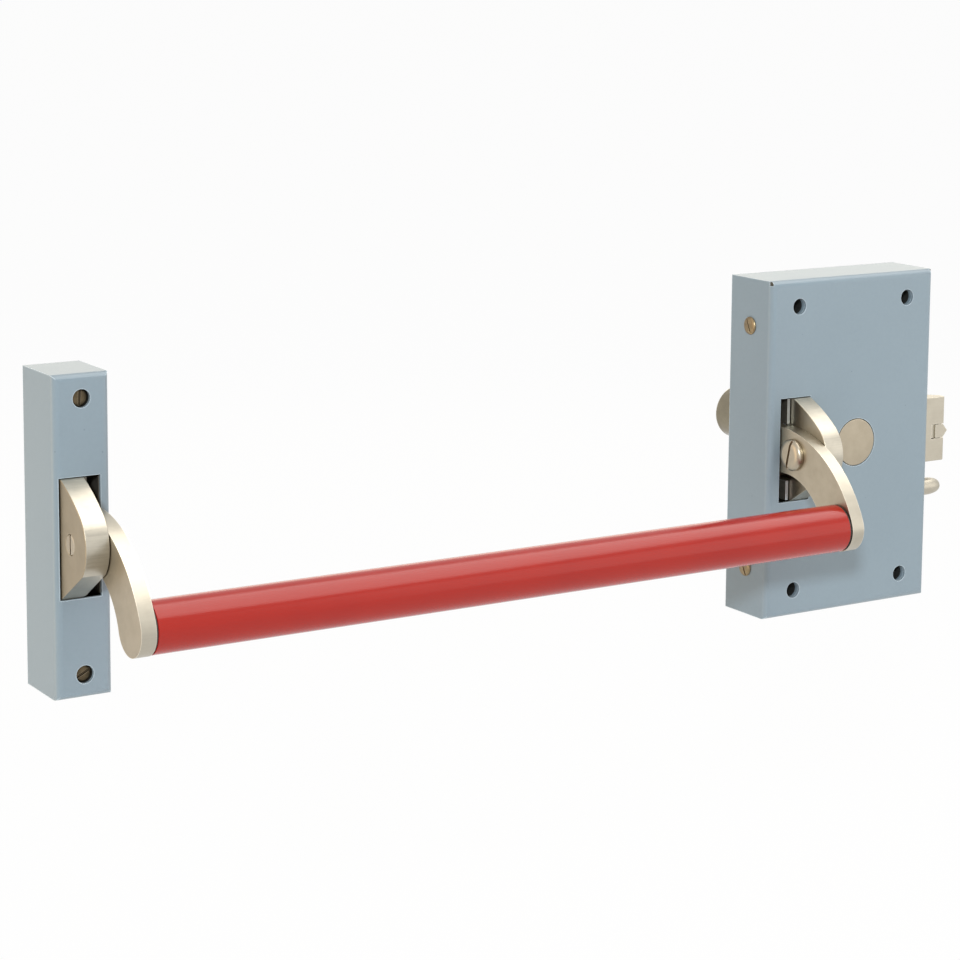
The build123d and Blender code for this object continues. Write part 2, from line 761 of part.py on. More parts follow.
def make_trigger_spring():
    """Spring behind the trigger, round its stem."""
    rear = latch_end - trigger_length
    tube = peg_x(3.0, rear - trigger_room, rear, trigger_stem_y, trigger_mid)
    return tube - hole_x(2.2, rear - trigger_room - 1, rear + 1, trigger_stem_y, trigger_mid)


def make_latch_tail():
    """Plate that carries the crank's movement to the latch."""
    left = latch_pin_x - latch_pin_radius - 3.5
    tail = block(left, latch_rear, tail_front, tail_back, tail_bottom, tail_top)
    rise = long_arm * (1 - cos(half_swing))
    slot = Pos(latch_pin_x, latch_pin_z + rise / 2) * Rot(0, 0, 90) * SlotCenterToCenter(
        rise + 0.6, 2 * latch_pin_radius + 0.3)
    tail -= front_plate(slot, tail_front - 1, tail_back + 1)
    tab_x = cylinder_x + 2.5
    tail += block(tab_x, tab_x + 3, tail_back, cam_front - 0.4, 5.0, tail_top)
    return tail


def make_latch_guide():
    """Bridge over the latch, with feet on the back plate."""
    half = latch_height / 2 + play
    left = 24.0
    right = inner_half - fit_gap
    top = latch_front - play
    guide = block(left, right, top - 2, -plate, -half - 2.2, half + 2.2)
    guide -= block(left - 1, right + 1, top, -plate + 1, -half, half)
    for side in (-1, 1):
        z0 = side * (half + 2.2)
        z1 = side * (half + 6.2)
        guide += block(left, right, -plate - 2, -plate, min(z0, z1), max(z0, z1))
    return guide


def make_deadlock_plunger():
    """Round plunger with a coned nose, a stop collar and a rear guide rod."""
    tip = case_half + plunger_out
    body = rod_x(plunger_radius, collar_stop - 4, tip, plunger_y, plunger_z)
    nose = body.faces().sort_by(Axis.X)[-1].edges()
    body = chamfer(nose, 3.2, 2.2)
    body += peg_x(plunger_collar_radius, collar_stop - 4, collar_stop, plunger_y, plunger_z)
    return body + peg_x(plunger_rod_radius, 16.0, collar_stop - 3, plunger_y, plunger_z)


def make_plunger_spring():
    """Spring between the guide and the plunger's collar."""
    x0 = plunger_tab_x + plunger_tab
    x1 = collar_stop - 4
    tube = peg_x(4.6, x0, x1, plunger_y, plunger_z)
    return tube - hole_x(3.5, x0 - 1, x1 + 1, plunger_y, plunger_z)


# Cylinder

def make_cylinder_body():
    """Cylinder through the door, clamped against the back plate."""
    body = rod_y(cylinder_radius, 0, cylinder_length, cylinder_x, 0)
    body = chamfer(body.faces().sort_by(Axis.Y)[-1].edges(), 1.2)
    body -= hole_y(plug_radius + shaft_play, -1, cylinder_length + 1, cylinder_x, 0)
    for z in (-cylinder_screw_reach, cylinder_screw_reach):
        body -= hole_y(cylinder_screw_radius + shaft_play, -1, 14, cylinder_x, z)
    return body


def make_cylinder_screws():
    """Two screws from inside the case that clamp the cylinder."""
    screws = []
    for z in (-cylinder_screw_reach, cylinder_screw_reach):
        head = peg_y(cylinder_screw_radius + 0.6, -plate - 2.4, -plate, cylinder_x, z)
        screws.append(head + peg_y(cylinder_screw_radius, -plate, 13, cylinder_x, z))
    return Compound(children=[one.solid() for one in screws])


def make_cylinder_plug():
    """Plug with its keyway in the outer end and a slot for the tailpiece."""
    plug = peg_y(plug_radius, 1.0, cylinder_length - 0.4, cylinder_x, 0)
    plug -= block(cylinder_x - 1.1, cylinder_x + 1.1, cylinder_length - 24, cylinder_length + 1,
                  -5.5, 3.5)
    return plug - tailpiece_bar(0.0, 8.0, fit_gap)


def tailpiece_bar(y0, y1, gap):
    """Flat bar on the cylinder's axis."""
    half_width = tailpiece_width / 2 + gap
    half_thickness = tailpiece_thickness / 2 + gap
    return block(cylinder_x - half_width, cylinder_x + half_width, y0, y1 + gap,
                 -half_thickness, half_thickness)


def make_cylinder_tailpiece():
    return tailpiece_bar(cam_front + 0.6, 8.0, 0)


def make_cylinder_cam():
    """Finger on a hub, turned by the tailpiece."""
    cam = peg_y(cam_hub_radius, cam_front, -plate - play, cylinder_x, 0)
    finger = block(cylinder_x, cylinder_x + cam_radius - 2, cam_front, cam_front + cam_plate,
                   -2.2, 2.2)
    finger += peg_y(2.2, cam_front, cam_front + cam_plate, cylinder_x + cam_radius - 2.2, 0)
    cam += finger
    return cam - tailpiece_bar(cam_front + 0.5, 2.0, fit_gap)


def make_cam_bush():
    """Ring on the back plate that the cam's hub turns in."""
    bush = peg_y(bush_radius, -plate - bush_length, -plate, cylinder_x, 0)
    return bush - hole_y(cam_hub_radius + shaft_play, cam_front, 0, cylinder_x, 0)


pieces = {
    "lock_case_cover": make_lock_case_cover(),
    "lock_back_plate": make_lock_back_plate(),
    "cover_screws": make_cover_screws(),
    "mounting_sleeves": make_mounting_sleeves(),
    "cylinder_hole_cap": make_cylinder_hole_cap(),
    "lock_bracket": make_lock_bracket(),
    "lock_axle": make_axle(arm_left - play, second_cheek_left + cheek),
    "lock_torsion_spring": make_torsion_spring(),
    "lock_rocker": make_rocker(),
    "lock_arm": make_lock_arm(),
    "lock_arm_screw": make_arm_screw(),
    "drive_lug": make_drive_lug(),
    "push_bar_tube": make_push_bar_tube(),
    "bar_end_collars": make_bar_end_collars(),
    "pivot_arm": mirror(make_lock_arm(), about=other_side),
    "pivot_arm_screw": mirror(make_arm_screw(), about=other_side),
    "pivot_rocker": mirror(make_rocker(), about=other_side),
    "pivot_torsion_spring": mirror(make_torsion_spring(), about=other_side),
    "pivot_axle": mirror(make_axle(arm_left - play - cheek, rocker_right), about=other_side),
    "pivot_bracket": make_pivot_bracket(),
    "pivot_housing_cover": make_pivot_housing_cover(),
    "pivot_back_plate": make_pivot_back_plate(),
    "pivot_sleeves": make_pivot_sleeves(),
    "pivot_housing_screws": make_pivot_housing_screws(),
    "drive_slide": make_drive_slide(),
    "slide_studs": make_slide_studs(),
    "slide_spring": make_slide_spring(),
    "bell_crank": make_bell_crank(),
    "crank_pins": make_crank_pins(),
    "crank_post": make_crank_post(),
    "latch_bolt": make_latch_bolt(),
    "latch_tail": make_latch_tail(),
    "latch_guide": make_latch_guide(),
    "latch_trigger": make_latch_trigger(),
    "trigger_spring": make_trigger_spring(),
    "deadlock_plunger": make_deadlock_plunger(),
    "plunger_spring": make_plunger_spring(),
    "cylinder_body": make_cylinder_body(),
    "cylinder_screws": make_cylinder_screws(),
    "cylinder_plug": make_cylinder_plug(),
    "cylinder_tailpiece": make_cylinder_tailpiece(),
    "cylinder_cam": make_cylinder_cam(),
    "cam_bush": make_cam_bush(),
}

for name, piece in pieces.items():
    solids = piece.solids()
    whole = solids[0] if len(solids) == 1 else Compound(children=list(solids))
    export_step(whole, f"parts/{name}.step")
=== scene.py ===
import json
from math import atan2, ceil, cos, degrees, hypot, pi, radians, sin

import bmesh
import bpy
from mathutils import Matrix, Vector


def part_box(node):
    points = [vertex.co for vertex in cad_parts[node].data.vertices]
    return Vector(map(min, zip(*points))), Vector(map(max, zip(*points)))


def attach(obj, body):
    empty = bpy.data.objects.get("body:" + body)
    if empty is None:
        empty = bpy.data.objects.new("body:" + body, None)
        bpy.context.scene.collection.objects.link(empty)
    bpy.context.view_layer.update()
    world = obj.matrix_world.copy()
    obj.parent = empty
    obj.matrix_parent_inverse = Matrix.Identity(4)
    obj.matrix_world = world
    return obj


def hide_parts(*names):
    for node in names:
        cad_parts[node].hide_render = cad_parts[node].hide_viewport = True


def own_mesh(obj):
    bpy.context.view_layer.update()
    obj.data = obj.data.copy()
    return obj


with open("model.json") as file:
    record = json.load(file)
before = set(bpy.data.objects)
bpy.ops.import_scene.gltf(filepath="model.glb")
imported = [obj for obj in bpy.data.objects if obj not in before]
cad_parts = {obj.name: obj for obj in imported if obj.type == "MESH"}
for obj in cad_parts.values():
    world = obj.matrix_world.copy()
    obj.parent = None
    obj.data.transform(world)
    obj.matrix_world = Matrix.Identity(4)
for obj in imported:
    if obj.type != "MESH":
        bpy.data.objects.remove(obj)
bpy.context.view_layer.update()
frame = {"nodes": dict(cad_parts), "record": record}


# The lock is seen as in a catalogue picture: from the left, a little above, against white.
# A far soft box on the left casts the shadows, one above and two weaker ones fill them, and a
# warm card beside the case shows in its nickel. The floor is far below, as under a real door.
scene = bpy.context.scene
scene.view_settings.view_transform = "Standard"
focal_length = 97.347
camera_place = (-0.84542, -1.03927, 0.25530)
camera_turn = (82.2458, -0.4147, -31.6931)
camera_shift = -0.2

camera = bpy.data.objects.new("camera", bpy.data.cameras.new("camera"))
camera.data.lens = focal_length
camera.data.sensor_width = 36
camera.data.shift_y = camera_shift
camera.data.clip_end = 100
camera.location = camera_place
camera.rotation_euler = [radians(turn) for turn in camera_turn]
scene.collection.objects.link(camera)
scene.camera = camera


def add_lamp(name, place, target, width, height, watts, colour):
    """A soft box that faces a target."""
    light = bpy.data.lights.new(name, "AREA")
    light.shape = "RECTANGLE"
    light.size = width
    light.size_y = height
    light.energy = watts
    light.color = colour
    lamp = bpy.data.objects.new(name, light)
    lamp.location = place
    lamp.rotation_euler = (Vector(target) - Vector(place)).to_track_quat("-Z", "Y").to_euler()
    lamp.visible_camera = False
    scene.collection.objects.link(lamp)


middle, case_left = (-0.2, -0.03, 0.0), (-0.43, -0.02, 0.0)
cool, neutral = (0.85, 0.94, 1.0), (1.0, 0.97, 0.93)
warm, amber = (1.0, 0.88, 0.65), (1.0, 0.72, 0.42)
add_lamp("soft_box_left", (-3.5, -4.26, 2.34), middle, width=0.57, height=0.57, watts=170,
         colour=cool)
add_lamp("soft_box_above", (0.6, -0.35, 1.9), middle, width=2.4, height=1.8, watts=32,
         colour=neutral)
add_lamp("soft_box_right", (1.9, -2.1, 0.5), middle, width=2.0, height=2.0, watts=9.0,
         colour=neutral)
add_lamp("soft_box_behind", (1.1, 2.15, 0.6), middle, width=2.2, height=0.8, watts=5.5,
         colour=warm)
add_lamp("card_left", (-1.0, 0.22, 0.05), case_left, width=0.45, height=0.7, watts=1.7,
         colour=amber)


def new_material(name):
    """An empty node material and its tree."""
    material = bpy.data.materials.new(name)
    material.use_nodes = True
    material.node_tree.nodes.clear()
    return material, material.node_tree


def add(tree, kind, **settings):
    """A node. Each setting is a property, a socket's value, or the output linked into it."""
    node = tree.nodes.new("ShaderNode" + kind)
    for key, value in settings.items():
        if hasattr(node, key):
            setattr(node, key, value)
        elif isinstance(value, bpy.types.NodeSocket):
            tree.links.new(value, node.inputs[key.replace("_", " ")])
        else:
            node.inputs[key.replace("_", " ")].default_value = value
    return node


def calculate(tree, operation, *values):
    """The result of a Math node on outputs and plain numbers."""
    node = add(tree, "Math", operation=operation)
    for socket, value in zip(node.inputs, values):
        if isinstance(value, bpy.types.NodeSocket):
            tree.links.new(value, socket)
        else:
            socket.default_value = value
    return node.outputs[0]


def seen_white(tree, plain, white, white_share):
    """Mixes white into what the camera, gloss and glass see of a plain surface."""
    path = add(tree, "LightPath").outputs
    seen = calculate(tree, "MAXIMUM", path["Is Camera Ray"], path["Is Glossy Ray"])
    seen = calculate(tree, "MAXIMUM", seen, path["Is Transmission Ray"])
    mix = add(tree, "MixShader", Fac=calculate(tree, "MULTIPLY", seen, white_share))
    tree.links.new(plain.outputs[0], mix.inputs[1])
    tree.links.new(white.outputs[0], mix.inputs[2])
    return mix.outputs[0]


world = bpy.data.worlds.new("studio")
scene.world = world
world.use_nodes = True
tree = world.node_tree
tree.nodes.clear()
room = add(tree, "Background", Color=(0.93, 0.88, 0.83, 1), Strength=0.35)
white = add(tree, "Background", Color=(1, 1, 1, 1), Strength=1.0)
add(tree, "OutputWorld", Surface=seen_white(tree, room, white, 1.0))

floor_height, floor_reach, floor_white = -0.42, 80, 0.96
floor_paint, tree = new_material("floor_paper")
paper = add(tree, "BsdfDiffuse", Color=(0.92, 0.92, 0.92, 1))
glow = add(tree, "Emission", Color=(1, 1, 1, 1), Strength=1.0)
add(tree, "OutputMaterial", Surface=seen_white(tree, paper, glow, floor_white))
floor_mesh = bmesh.new()
bmesh.ops.create_grid(floor_mesh, x_segments=1, y_segments=1, size=floor_reach)
bmesh.ops.translate(floor_mesh, vec=(0, 0, floor_height), verts=floor_mesh.verts)
floor_data = bpy.data.meshes.new("floor")
floor_mesh.to_mesh(floor_data)
floor_mesh.free()
floor_data.materials.append(floor_paint)
floor = bpy.data.objects.new("floor", floor_data)
scene.collection.objects.link(floor)


# The two covers are folded from sheet steel and painted a glossy grey-blue.
# Their bends are rounded, the holes are punched before painting, so paint runs round the rims.
# The case takes the arm's slot, four fixing holes, the cap and, on its right, latch and plunger.
mm = 0.001
tolerance = 0.01
case_width, case_depth, case_height = 105.0, 33.0, 172.0
sheet, bend = 1.5, 3.5
front = -case_depth
sheet_back = front + sheet
sharp_angle, square_angle = 32, 60
body_of_node = {node: body for body, names in frame["record"]["behaviour"]["bodies"].items()
                for node in names}


def break_edges(bm, edges, width, steps=3):
    """Rounds edges over."""
    bmesh.ops.bevel(bm, geom=edges, offset=width, offset_type="OFFSET", segments=steps,
                    profile=0.5, affect="EDGES", clamp_overlap=True, material=-1)


def corners_of(bm, sharp=sharp_angle):
    """The edges where two faces meet at more than an angle."""
    return [edge for edge in bm.edges if edge.is_manifold
            and degrees(edge.calc_face_angle(0)) > sharp]


def finish_piece(bm, name, material, slot, *replaced, soft_edge=0.0, second=None):
    """Turns a mesh in millimetres into a piece that stands for CAD nodes and rides with them."""
    bmesh.ops.remove_doubles(bm, verts=bm.verts, dist=0.0005)
    bmesh.ops.recalc_face_normals(bm, faces=bm.faces)
    if soft_edge:
        break_edges(bm, corners_of(bm), soft_edge)
    bmesh.ops.scale(bm, vec=(mm, mm, mm), verts=bm.verts)
    for edge in bm.edges:
        edge.smooth = not edge.is_manifold or degrees(edge.calc_face_angle(0)) < sharp_angle
    for face in bm.faces:
        face.smooth = True
    mesh = bpy.data.meshes.new(name)
    bm.to_mesh(mesh)
    bm.free()
    mesh.materials.append(material)
    if second:
        mesh.materials.append(second)
    piece = bpy.data.objects.new(name, mesh)
    scene.collection.objects.link(piece)
    weighted = piece.modifiers.new("even_shading", "WEIGHTED_NORMAL")
    weighted.keep_sharp = True
    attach(piece, body_of_node[replaced[0]])
    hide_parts(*replaced)
    return piece


def box_mesh(x0, x1, y0, y1, z0, z1):
    """A block between two corners."""
    bm = bmesh.new()
    bmesh.ops.create_cube(bm, size=1)
    bmesh.ops.scale(bm, vec=(x1 - x0, y1 - y0, z1 - z0), verts=bm.verts)
    bmesh.ops.translate(bm, vec=((x0 + x1) / 2, (y0 + y1) / 2, (z0 + z1) / 2), verts=bm.verts)
    return bm


def rod_mesh(radius, start, end, sides=64):
    """A round rod between two points."""
    bm = bmesh.new()
    start, end = Vector(start), Vector(end)
    bmesh.ops.create_cone(bm, cap_ends=True, segments=sides, radius1=radius, radius2=radius,
                          depth=(end - start).length)
    turn = (end - start).to_track_quat("Z", "Y").to_matrix().to_4x4()
    bmesh.ops.transform(bm, matrix=Matrix.Translation((start + end) / 2) @ turn, verts=bm.verts)
    return bm


def combine(bm, other, how="DIFFERENCE"):
    """Joins, cuts or crosses two closed meshes, and returns the result."""
    pair = []
    for part in (bm, other):
        bmesh.ops.recalc_face_normals(part, faces=part.faces)
        data = bpy.data.meshes.new("rough")
        part.to_mesh(data)
        part.free()
        thing = bpy.data.objects.new("rough", data)
        scene.collection.objects.link(thing)
        pair.append(thing)
    tool = pair[0].modifiers.new("cut", "BOOLEAN")
    tool.operation = how
    tool.solver = "EXACT"
    tool.object = pair[1]
    shaped = pair[0].evaluated_get(bpy.context.evaluated_depsgraph_get())
    result = bmesh.new()
    result.from_mesh(shaped.to_mesh())
    for thing in pair:
        data = thing.data
        bpy.data.objects.remove(thing)
        bpy.data.meshes.remove(data)
    return result


def gathered(parts):
    """Several separate bodies in one mesh."""
    whole = bmesh.new()
    for part in parts:
        data = bpy.data.meshes.new("part")
        part.to_mesh(data)
        part.free()
        whole.from_mesh(data)
        bpy.data.meshes.remove(data)
    return whole


def two_tone(tree, share, dark, light, start, end, easing="LINEAR"):
    """A ramp from a dark to a light colour, between two values of a share."""
    ramp = add(tree, "ValToRGB", Fac=share)
    ramp.color_ramp.interpolation = easing
    for element, position, colour in zip(ramp.color_ramp.elements, (start, end), (dark, light)):
        element.position = position
        element.color = (*colour, 1)
    return ramp.outputs["Color"]


def worn_and_sheen_edges(tree, colour, radius, sharpest, wear_and_sheen, bright):
    """Brightens sharp edges within a radius in metres: part wear, part a painted highlight."""
    rounded = add(tree, "Bevel", samples=6, Radius=radius)
    agreement = add(tree, "VectorMath", operation="DOT_PRODUCT")
    tree.links.new(rounded.outputs["Normal"], agreement.inputs[0])
    tree.links.new(add(tree, "NewGeometry").outputs["Normal"], agreement.inputs[1])
    edge = add(tree, "MapRange", Value=agreement.outputs["Value"], From_Min=0.995,
               From_Max=sharpest, To_Max=wear_and_sheen)
    worn_and_sheen = add(tree, "MixRGB", Fac=edge.outputs["Result"], Color1=colour, Color2=(*bright, 1))
    return worn_and_sheen.outputs["Color"]


def close_material(tree, colour, roughness, bump, **settings):
    """The shader and output at a material's end."""
    shader = add(tree, "BsdfPrincipled", Base_Color=colour, Roughness=roughness.outputs["Result"],
                 Normal=bump.outputs["Normal"], **settings)
    add(tree, "OutputMaterial", Surface=shader.outputs[0])


def painted_steel(name, colour, shade, wear_and_sheen=0.8):
    """Glossy paint on steel: faint clouds, fine orange peel, dust specks and paler edges."""
    material, tree = new_material(name)
    place = add(tree, "TexCoord").outputs["Object"]
    clouds = add(tree, "TexNoise", Vector=place, Scale=22.0, Detail=3.0,
                 Roughness=0.5).outputs["Fac"]
    peel = add(tree, "TexNoise", Vector=place, Scale=520.0, Detail=2.0).outputs["Fac"]
    mottle = calculate(tree, "MULTIPLY_ADD", peel, 0.5, clouds)
    paint = two_tone(tree, mottle, shade, colour, start=0.4, end=1.0, easing="EASE")
    dust = add(tree, "TexVoronoi", Vector=place, Scale=95.0, Randomness=1.0)
    speck_size, speck_share = 0.035, 0.35
    speck = calculate(tree, "LESS_THAN", dust.outputs["Distance"], speck_size)
    specked = add(tree, "MixRGB", Fac=calculate(tree, "MULTIPLY", speck, speck_share),
                  Color1=paint, Color2=(0.10, 0.13, 0.15, 1))
    # The paler rims are partly wear and partly a painted highlight where the paint rounds over.
    worn_and_sheen = worn_and_sheen_edges(tree, specked.outputs["Color"], radius=0.0007, sharpest=0.93, wear_and_sheen=wear_and_sheen,
                      bright=(0.62, 0.72, 0.78))
    rough = add(tree, "MapRange", Value=clouds, To_Min=0.29, To_Max=0.36)
    bump = add(tree, "Bump", Height=peel, Strength=0.05, Distance=0.0004)
    close_material(tree, worn_and_sheen, rough, bump)
    return material


def folded_shell(x0, x1, height):
    """A sheet cover whose front is bent round to four flanges, mitred at the corners."""
    # The inner body reaches past the door side, so that the cover stays open there.
    past_back = 1.0
    shapes = []
    for inset, back in ((0, 0), (sheet, past_back)):
        low, high = (x0 + inset, inset - height / 2), (x1 - inset, height / 2 - inset)
        folded = None
        for way in (0, 2):
            bm = box_mesh(low[0], high[0], front + inset, back, low[1], high[1])
            rim = [edge for edge in bm.edges
                   if all(vert.co.y < front + inset + 0.1 for vert in edge.verts)
                   and abs(edge.verts[0].co[way] - edge.verts[1].co[way]) < 0.1]
            break_edges(bm, rim, bend - inset, steps=10)
            folded = bm if folded is None else combine(folded, bm, "INTERSECT")
        shapes.append(folded)
    return combine(shapes[0], shapes[1])


slot_left, slot_right, slot_half = -45.5, -26.5, 26.5
punch_start, punch_end = front - 2, front + 4


def slotted(bm, x0, x1):
    """A cover with the slot for an arm and its rocker."""
    return combine(bm, box_mesh(x0, x1, punch_start, punch_end, -slot_half, slot_half))


def punched(bm, radius, x, z, sides=64):
    """A cover with a round hole in its front."""
    return combine(bm, rod_mesh(radius, (x, punch_start, z), (x, punch_end, z), sides))


def punched_rims(bm):
    """The edges of holes in a cover's flat front."""
    return [edge for edge in corners_of(bm, square_angle)
            if all(abs(vert.co.y - front) < tolerance for vert in edge.verts)]


def mark_inside(bm, x0, x1, height):
    """Gives a cover's inner faces the second material."""
    for face in bm.faces:
        x, y, z = face.calc_center_median()
        face.material_index = int(x0 + sheet - tolerance < x < x1 - sheet + tolerance
                                  and y > sheet_back - tolerance
                                  and abs(z) < height / 2 - sheet + tolerance)


cover_paint = painted_steel("grey_blue_paint", (0.276, 0.346, 0.394), (0.262, 0.330, 0.377))
# The inside is a dark primer, its darkness a painted shade for the inside of the case.
primer_and_shade = painted_steel("dark_primer_painted_shade", (0.125, 0.115, 0.09), (0.10, 0.09, 0.07), wear_and_sheen=0.0)
case_side, case_top = case_width / 2, case_height / 2
fixing_x, fixing_z, access_hole = 35.0, 72.5, 4.0
cylinder_x, cap_hole = 3.5, 12.35
latch_front, latch_back, latch_half = -26.0, -9.0, 17.0
plunger_y, plunger_z, plunger_radius = -24.0, -30.5, 4.5
side_screw_y, side_screw_z, side_screw_hole = -16.0, 62.0, 2.1
play = 0.3
side_start, side_end, across = 48, 56, 60
hole_round, cap_round = 0.35, 0.12
relief_wide, relief_deep, relief_high = 1.3, 2.2, 2.3

cover = slotted(folded_shell(-case_side, case_side, case_height), slot_left, slot_right)
for x in (-fixing_x, fixing_x):
    for z in (-fixing_z, fixing_z):
        cover = punched(cover, access_hole, x, z)
cover = punched(cover, cap_hole, cylinder_x, 0, 96)
cover = combine(cover, box_mesh(side_start, side_end, latch_front - play, latch_back + play,
                                -latch_half - play, latch_half + play))
cover = combine(cover, rod_mesh(plunger_radius + play / 2, (side_start, plunger_y, plunger_z),
                                (side_end, plunger_y, plunger_z)))
for z in (-side_screw_z, side_screw_z):
    cover = combine(cover, rod_mesh(side_screw_hole, (-across, side_screw_y, z),
                                    (across, side_screw_y, z), 32))
rims = punched_rims(cover)
cap_rim = [edge for edge in rims
           if all(hypot(vert.co.x - cylinder_x, vert.co.z) < cap_hole + 0.1
                  for vert in edge.verts)]
break_edges(cover, [edge for edge in rims if edge not in cap_rim], hole_round)
break_edges(cover, [edge for edge in cap_rim if edge.is_valid], cap_round, 2)
# Where three folds meet, both top corners of the front have a small open relief.
for x in (-case_side, case_side - relief_wide):
    cover = combine(cover, box_mesh(x, x + relief_wide, front - 1, front + relief_deep,
                                    case_top - relief_high, case_top + 1))
mark_inside(cover, -case_side, case_side, case_height)
# Its faces take the dark primer too, a painted shade in the notch.
for face in cover.faces:
    x, y, z = face.calc_center_median()
    if (abs(x) > case_side - relief_wide - tolerance and y < front + relief_deep + tolerance
            and z > case_top - relief_high - tolerance):
        face.material_index = 1
finish_piece(cover, "case_cover_painted", cover_paint, "cover_paint", "lock_case_cover",
             second=primer_and_shade)

mirror_x = -228.75
housing_width, housing_height, housing_hole_z = 26.0, 141.0, 60.0
slot_margin = 2.2
housing_left = 2 * mirror_x - slot_right - slot_margin
housing_right, housing_middle = housing_left + housing_width, housing_left + housing_width / 2
shell = slotted(folded_shell(housing_left, housing_right, housing_height),
                2 * mirror_x - slot_right, 2 * mirror_x - slot_left)
for z in (-housing_hole_z, housing_hole_z):
    shell = punched(shell, access_hole, housing_middle, z)
break_edges(shell, punched_rims(shell), hole_round)
mark_inside(shell, housing_left, housing_right, housing_height)
finish_piece(shell, "pivot_cover_painted", cover_paint, "cover_paint", "pivot_housing_cover",
             second=primer_and_shade)


# All brass is turned bar: slotted screws in the sides of the case and in the pivot housing.
# The case's are dull and scratched; the housing's sit deep in their holes, in a darker brass.
def metal(name, colour, dark, roughness, grain=0.0, grain_way="", metallic=1.0, bump_depth=0.1,
          clouds=60.0, fine=2600):
    """A metal with cloudy tone, fine grain along one way, and brighter edges."""
    material, tree = new_material(name)
    place = add(tree, "TexCoord").outputs["Object"]
    tone = add(tree, "TexNoise", Vector=place, Scale=clouds, Detail=5.0, Roughness=0.6)
    cloudy = two_tone(tree, tone.outputs["Fac"], dark, colour, start=0.3, end=0.62)
    along = 60
    stretched = add(tree, "Mapping", Vector=place,
                    Scale=[along if way == grain_way else fine for way in "XYZ"])
    strokes = add(tree, "TexNoise", Vector=stretched.outputs["Vector"], Scale=1.0, Detail=3.0,
                  Roughness=0.65).outputs["Fac"]
    middle_half = {"From_Min": 0.25, "From_Max": 0.75}
    shade = add(tree, "MapRange", Value=strokes, **middle_half, To_Min=1.0 - grain)
    streaked = add(tree, "MixRGB", blend_type="MULTIPLY", Fac=1.0, Color1=cloudy,
                   Color2=shade.outputs["Result"])
    # The brighter edges are partly wear and partly a painted highlight along rounded rims.
    bright = [min(1.0, 1.7 * part + 0.1) for part in colour]
    worn_and_sheen = worn_and_sheen_edges(tree, streaked.outputs["Color"], radius=0.0005, sharpest=0.92, wear_and_sheen=0.6,
                      bright=bright)
    spread = 0.05 + grain * 0.1
    rough = add(tree, "MapRange", Value=strokes, **middle_half, To_Min=roughness - spread,
                To_Max=roughness + spread)
    bump = add(tree, "Bump", Height=strokes, Strength=bump_depth, Distance=0.0001)
    close_material(tree, worn_and_sheen, rough, bump, Metallic=metallic)
    return material


def turned(profile, centre, axis, sides=96):
    """A body turned about an axis, from (distance along it, radius) pairs."""
    bm = bmesh.new()
    verts = [bm.verts.new((radius, 0, along)) for along, radius in profile]
    edges = [bm.edges.new(pair) for pair in zip(verts, verts[1:])]
    bmesh.ops.spin(bm, geom=verts + edges, cent=(0, 0, 0), axis=(0, 0, 1), angle=2 * pi,
                   steps=sides, use_merge=True)
    bmesh.ops.remove_doubles(bm, verts=bm.verts, dist=0.0005)
    turn = Vector(axis).to_track_quat("Z", "Y").to_matrix().to_4x4()
    bmesh.ops.transform(bm, matrix=Matrix.Translation(centre) @ turn, verts=bm.verts)
    bmesh.ops.recalc_face_normals(bm, faces=bm.faces)
    return bm


def driver_slot(width, depth, length, axis, angle, centre):
    """The cutter for a screwdriver slot, turned about the screw's axis."""
    reach = [width / 2, width / 2, length / 2]
    reach["XY".index(axis)] = depth
    cut = box_mesh(-reach[0], reach[0], -reach[1], reach[1], -reach[2], reach[2])
    bmesh.ops.rotate(cut, cent=(0, 0, 0), matrix=Matrix.Rotation(radians(angle), 3, axis),
                     verts=cut.verts)
    bmesh.ops.translate(cut, vec=centre, verts=cut.verts)
    return cut


brass = metal("dull_brass", (0.31, 0.235, 0.135), (0.18, 0.13, 0.075), 0.42, metallic=0.9,
              clouds=300.0)
darker_brass = metal("darker_brass_sunk_screws", (0.14, 0.105, 0.06), (0.085, 0.066, 0.038), 0.45,
                  metallic=0.85, clouds=400.0)
head_high, head_radius, shank_radius, screw_long = 1.4, 4.5, 2.0, 6
side_screws = []
for side in (-1, 1):
    for z in (-side_screw_z, side_screw_z):
        screw = turned([(-screw_long, 0), (-screw_long, shank_radius - 0.3),
                        (0.3 - screw_long, shank_radius), (0, shank_radius),
                        (0, head_radius - 0.1), (0.1, head_radius), (0.5, head_radius),
                        (1.0, head_radius - 0.4), (1.3, 3.2), (head_high, 1.6), (head_high, 0)],
                       (side * case_side, side_screw_y, z), (side, 0, 0), 48)
        slot = driver_slot(width=1.0, depth=0.7, length=12, axis="X", angle=25 * side,
                           centre=(side * (case_side + head_high), side_screw_y, z))
        side_screws.append(combine(screw, slot))
finish_piece(gathered(side_screws), "case_side_screws", brass, "brass", "cover_screws",
             soft_edge=0.1)

housing_seat = sheet_back + 3.0
head_high, head_radius, neck_radius, thread_radius = 2.2, 3.7, 2.0, 1.8
neck_end, thread_end, tip_end = 28.4, 38, 40.5
housing_screws = []
for z, slot_turn in ((-housing_hole_z, 62), (housing_hole_z, 3)):
    screw = turned([(-head_high, 0), (-head_high, head_radius - 0.7), (-1.9, head_radius - 0.2),
                    (-1.4, head_radius), (0, head_radius), (0, neck_radius),
                    (neck_end, neck_radius), (neck_end + 0.1, thread_radius),
                    (thread_end, thread_radius), (tip_end, 0.3), (tip_end, 0)],
                   (housing_middle, housing_seat, z), (0, 1, 0), 48)
    slot = driver_slot(width=1.1, depth=1.0, length=10, axis="Y", angle=slot_turn,
                       centre=(housing_middle, housing_seat - head_high, z))
    housing_screws.append(combine(screw, slot))
finish_piece(gathered(housing_screws), "housing_screws_slotted", darker_brass, "brass",
             "pivot_housing_screws", soft_edge=0.1)


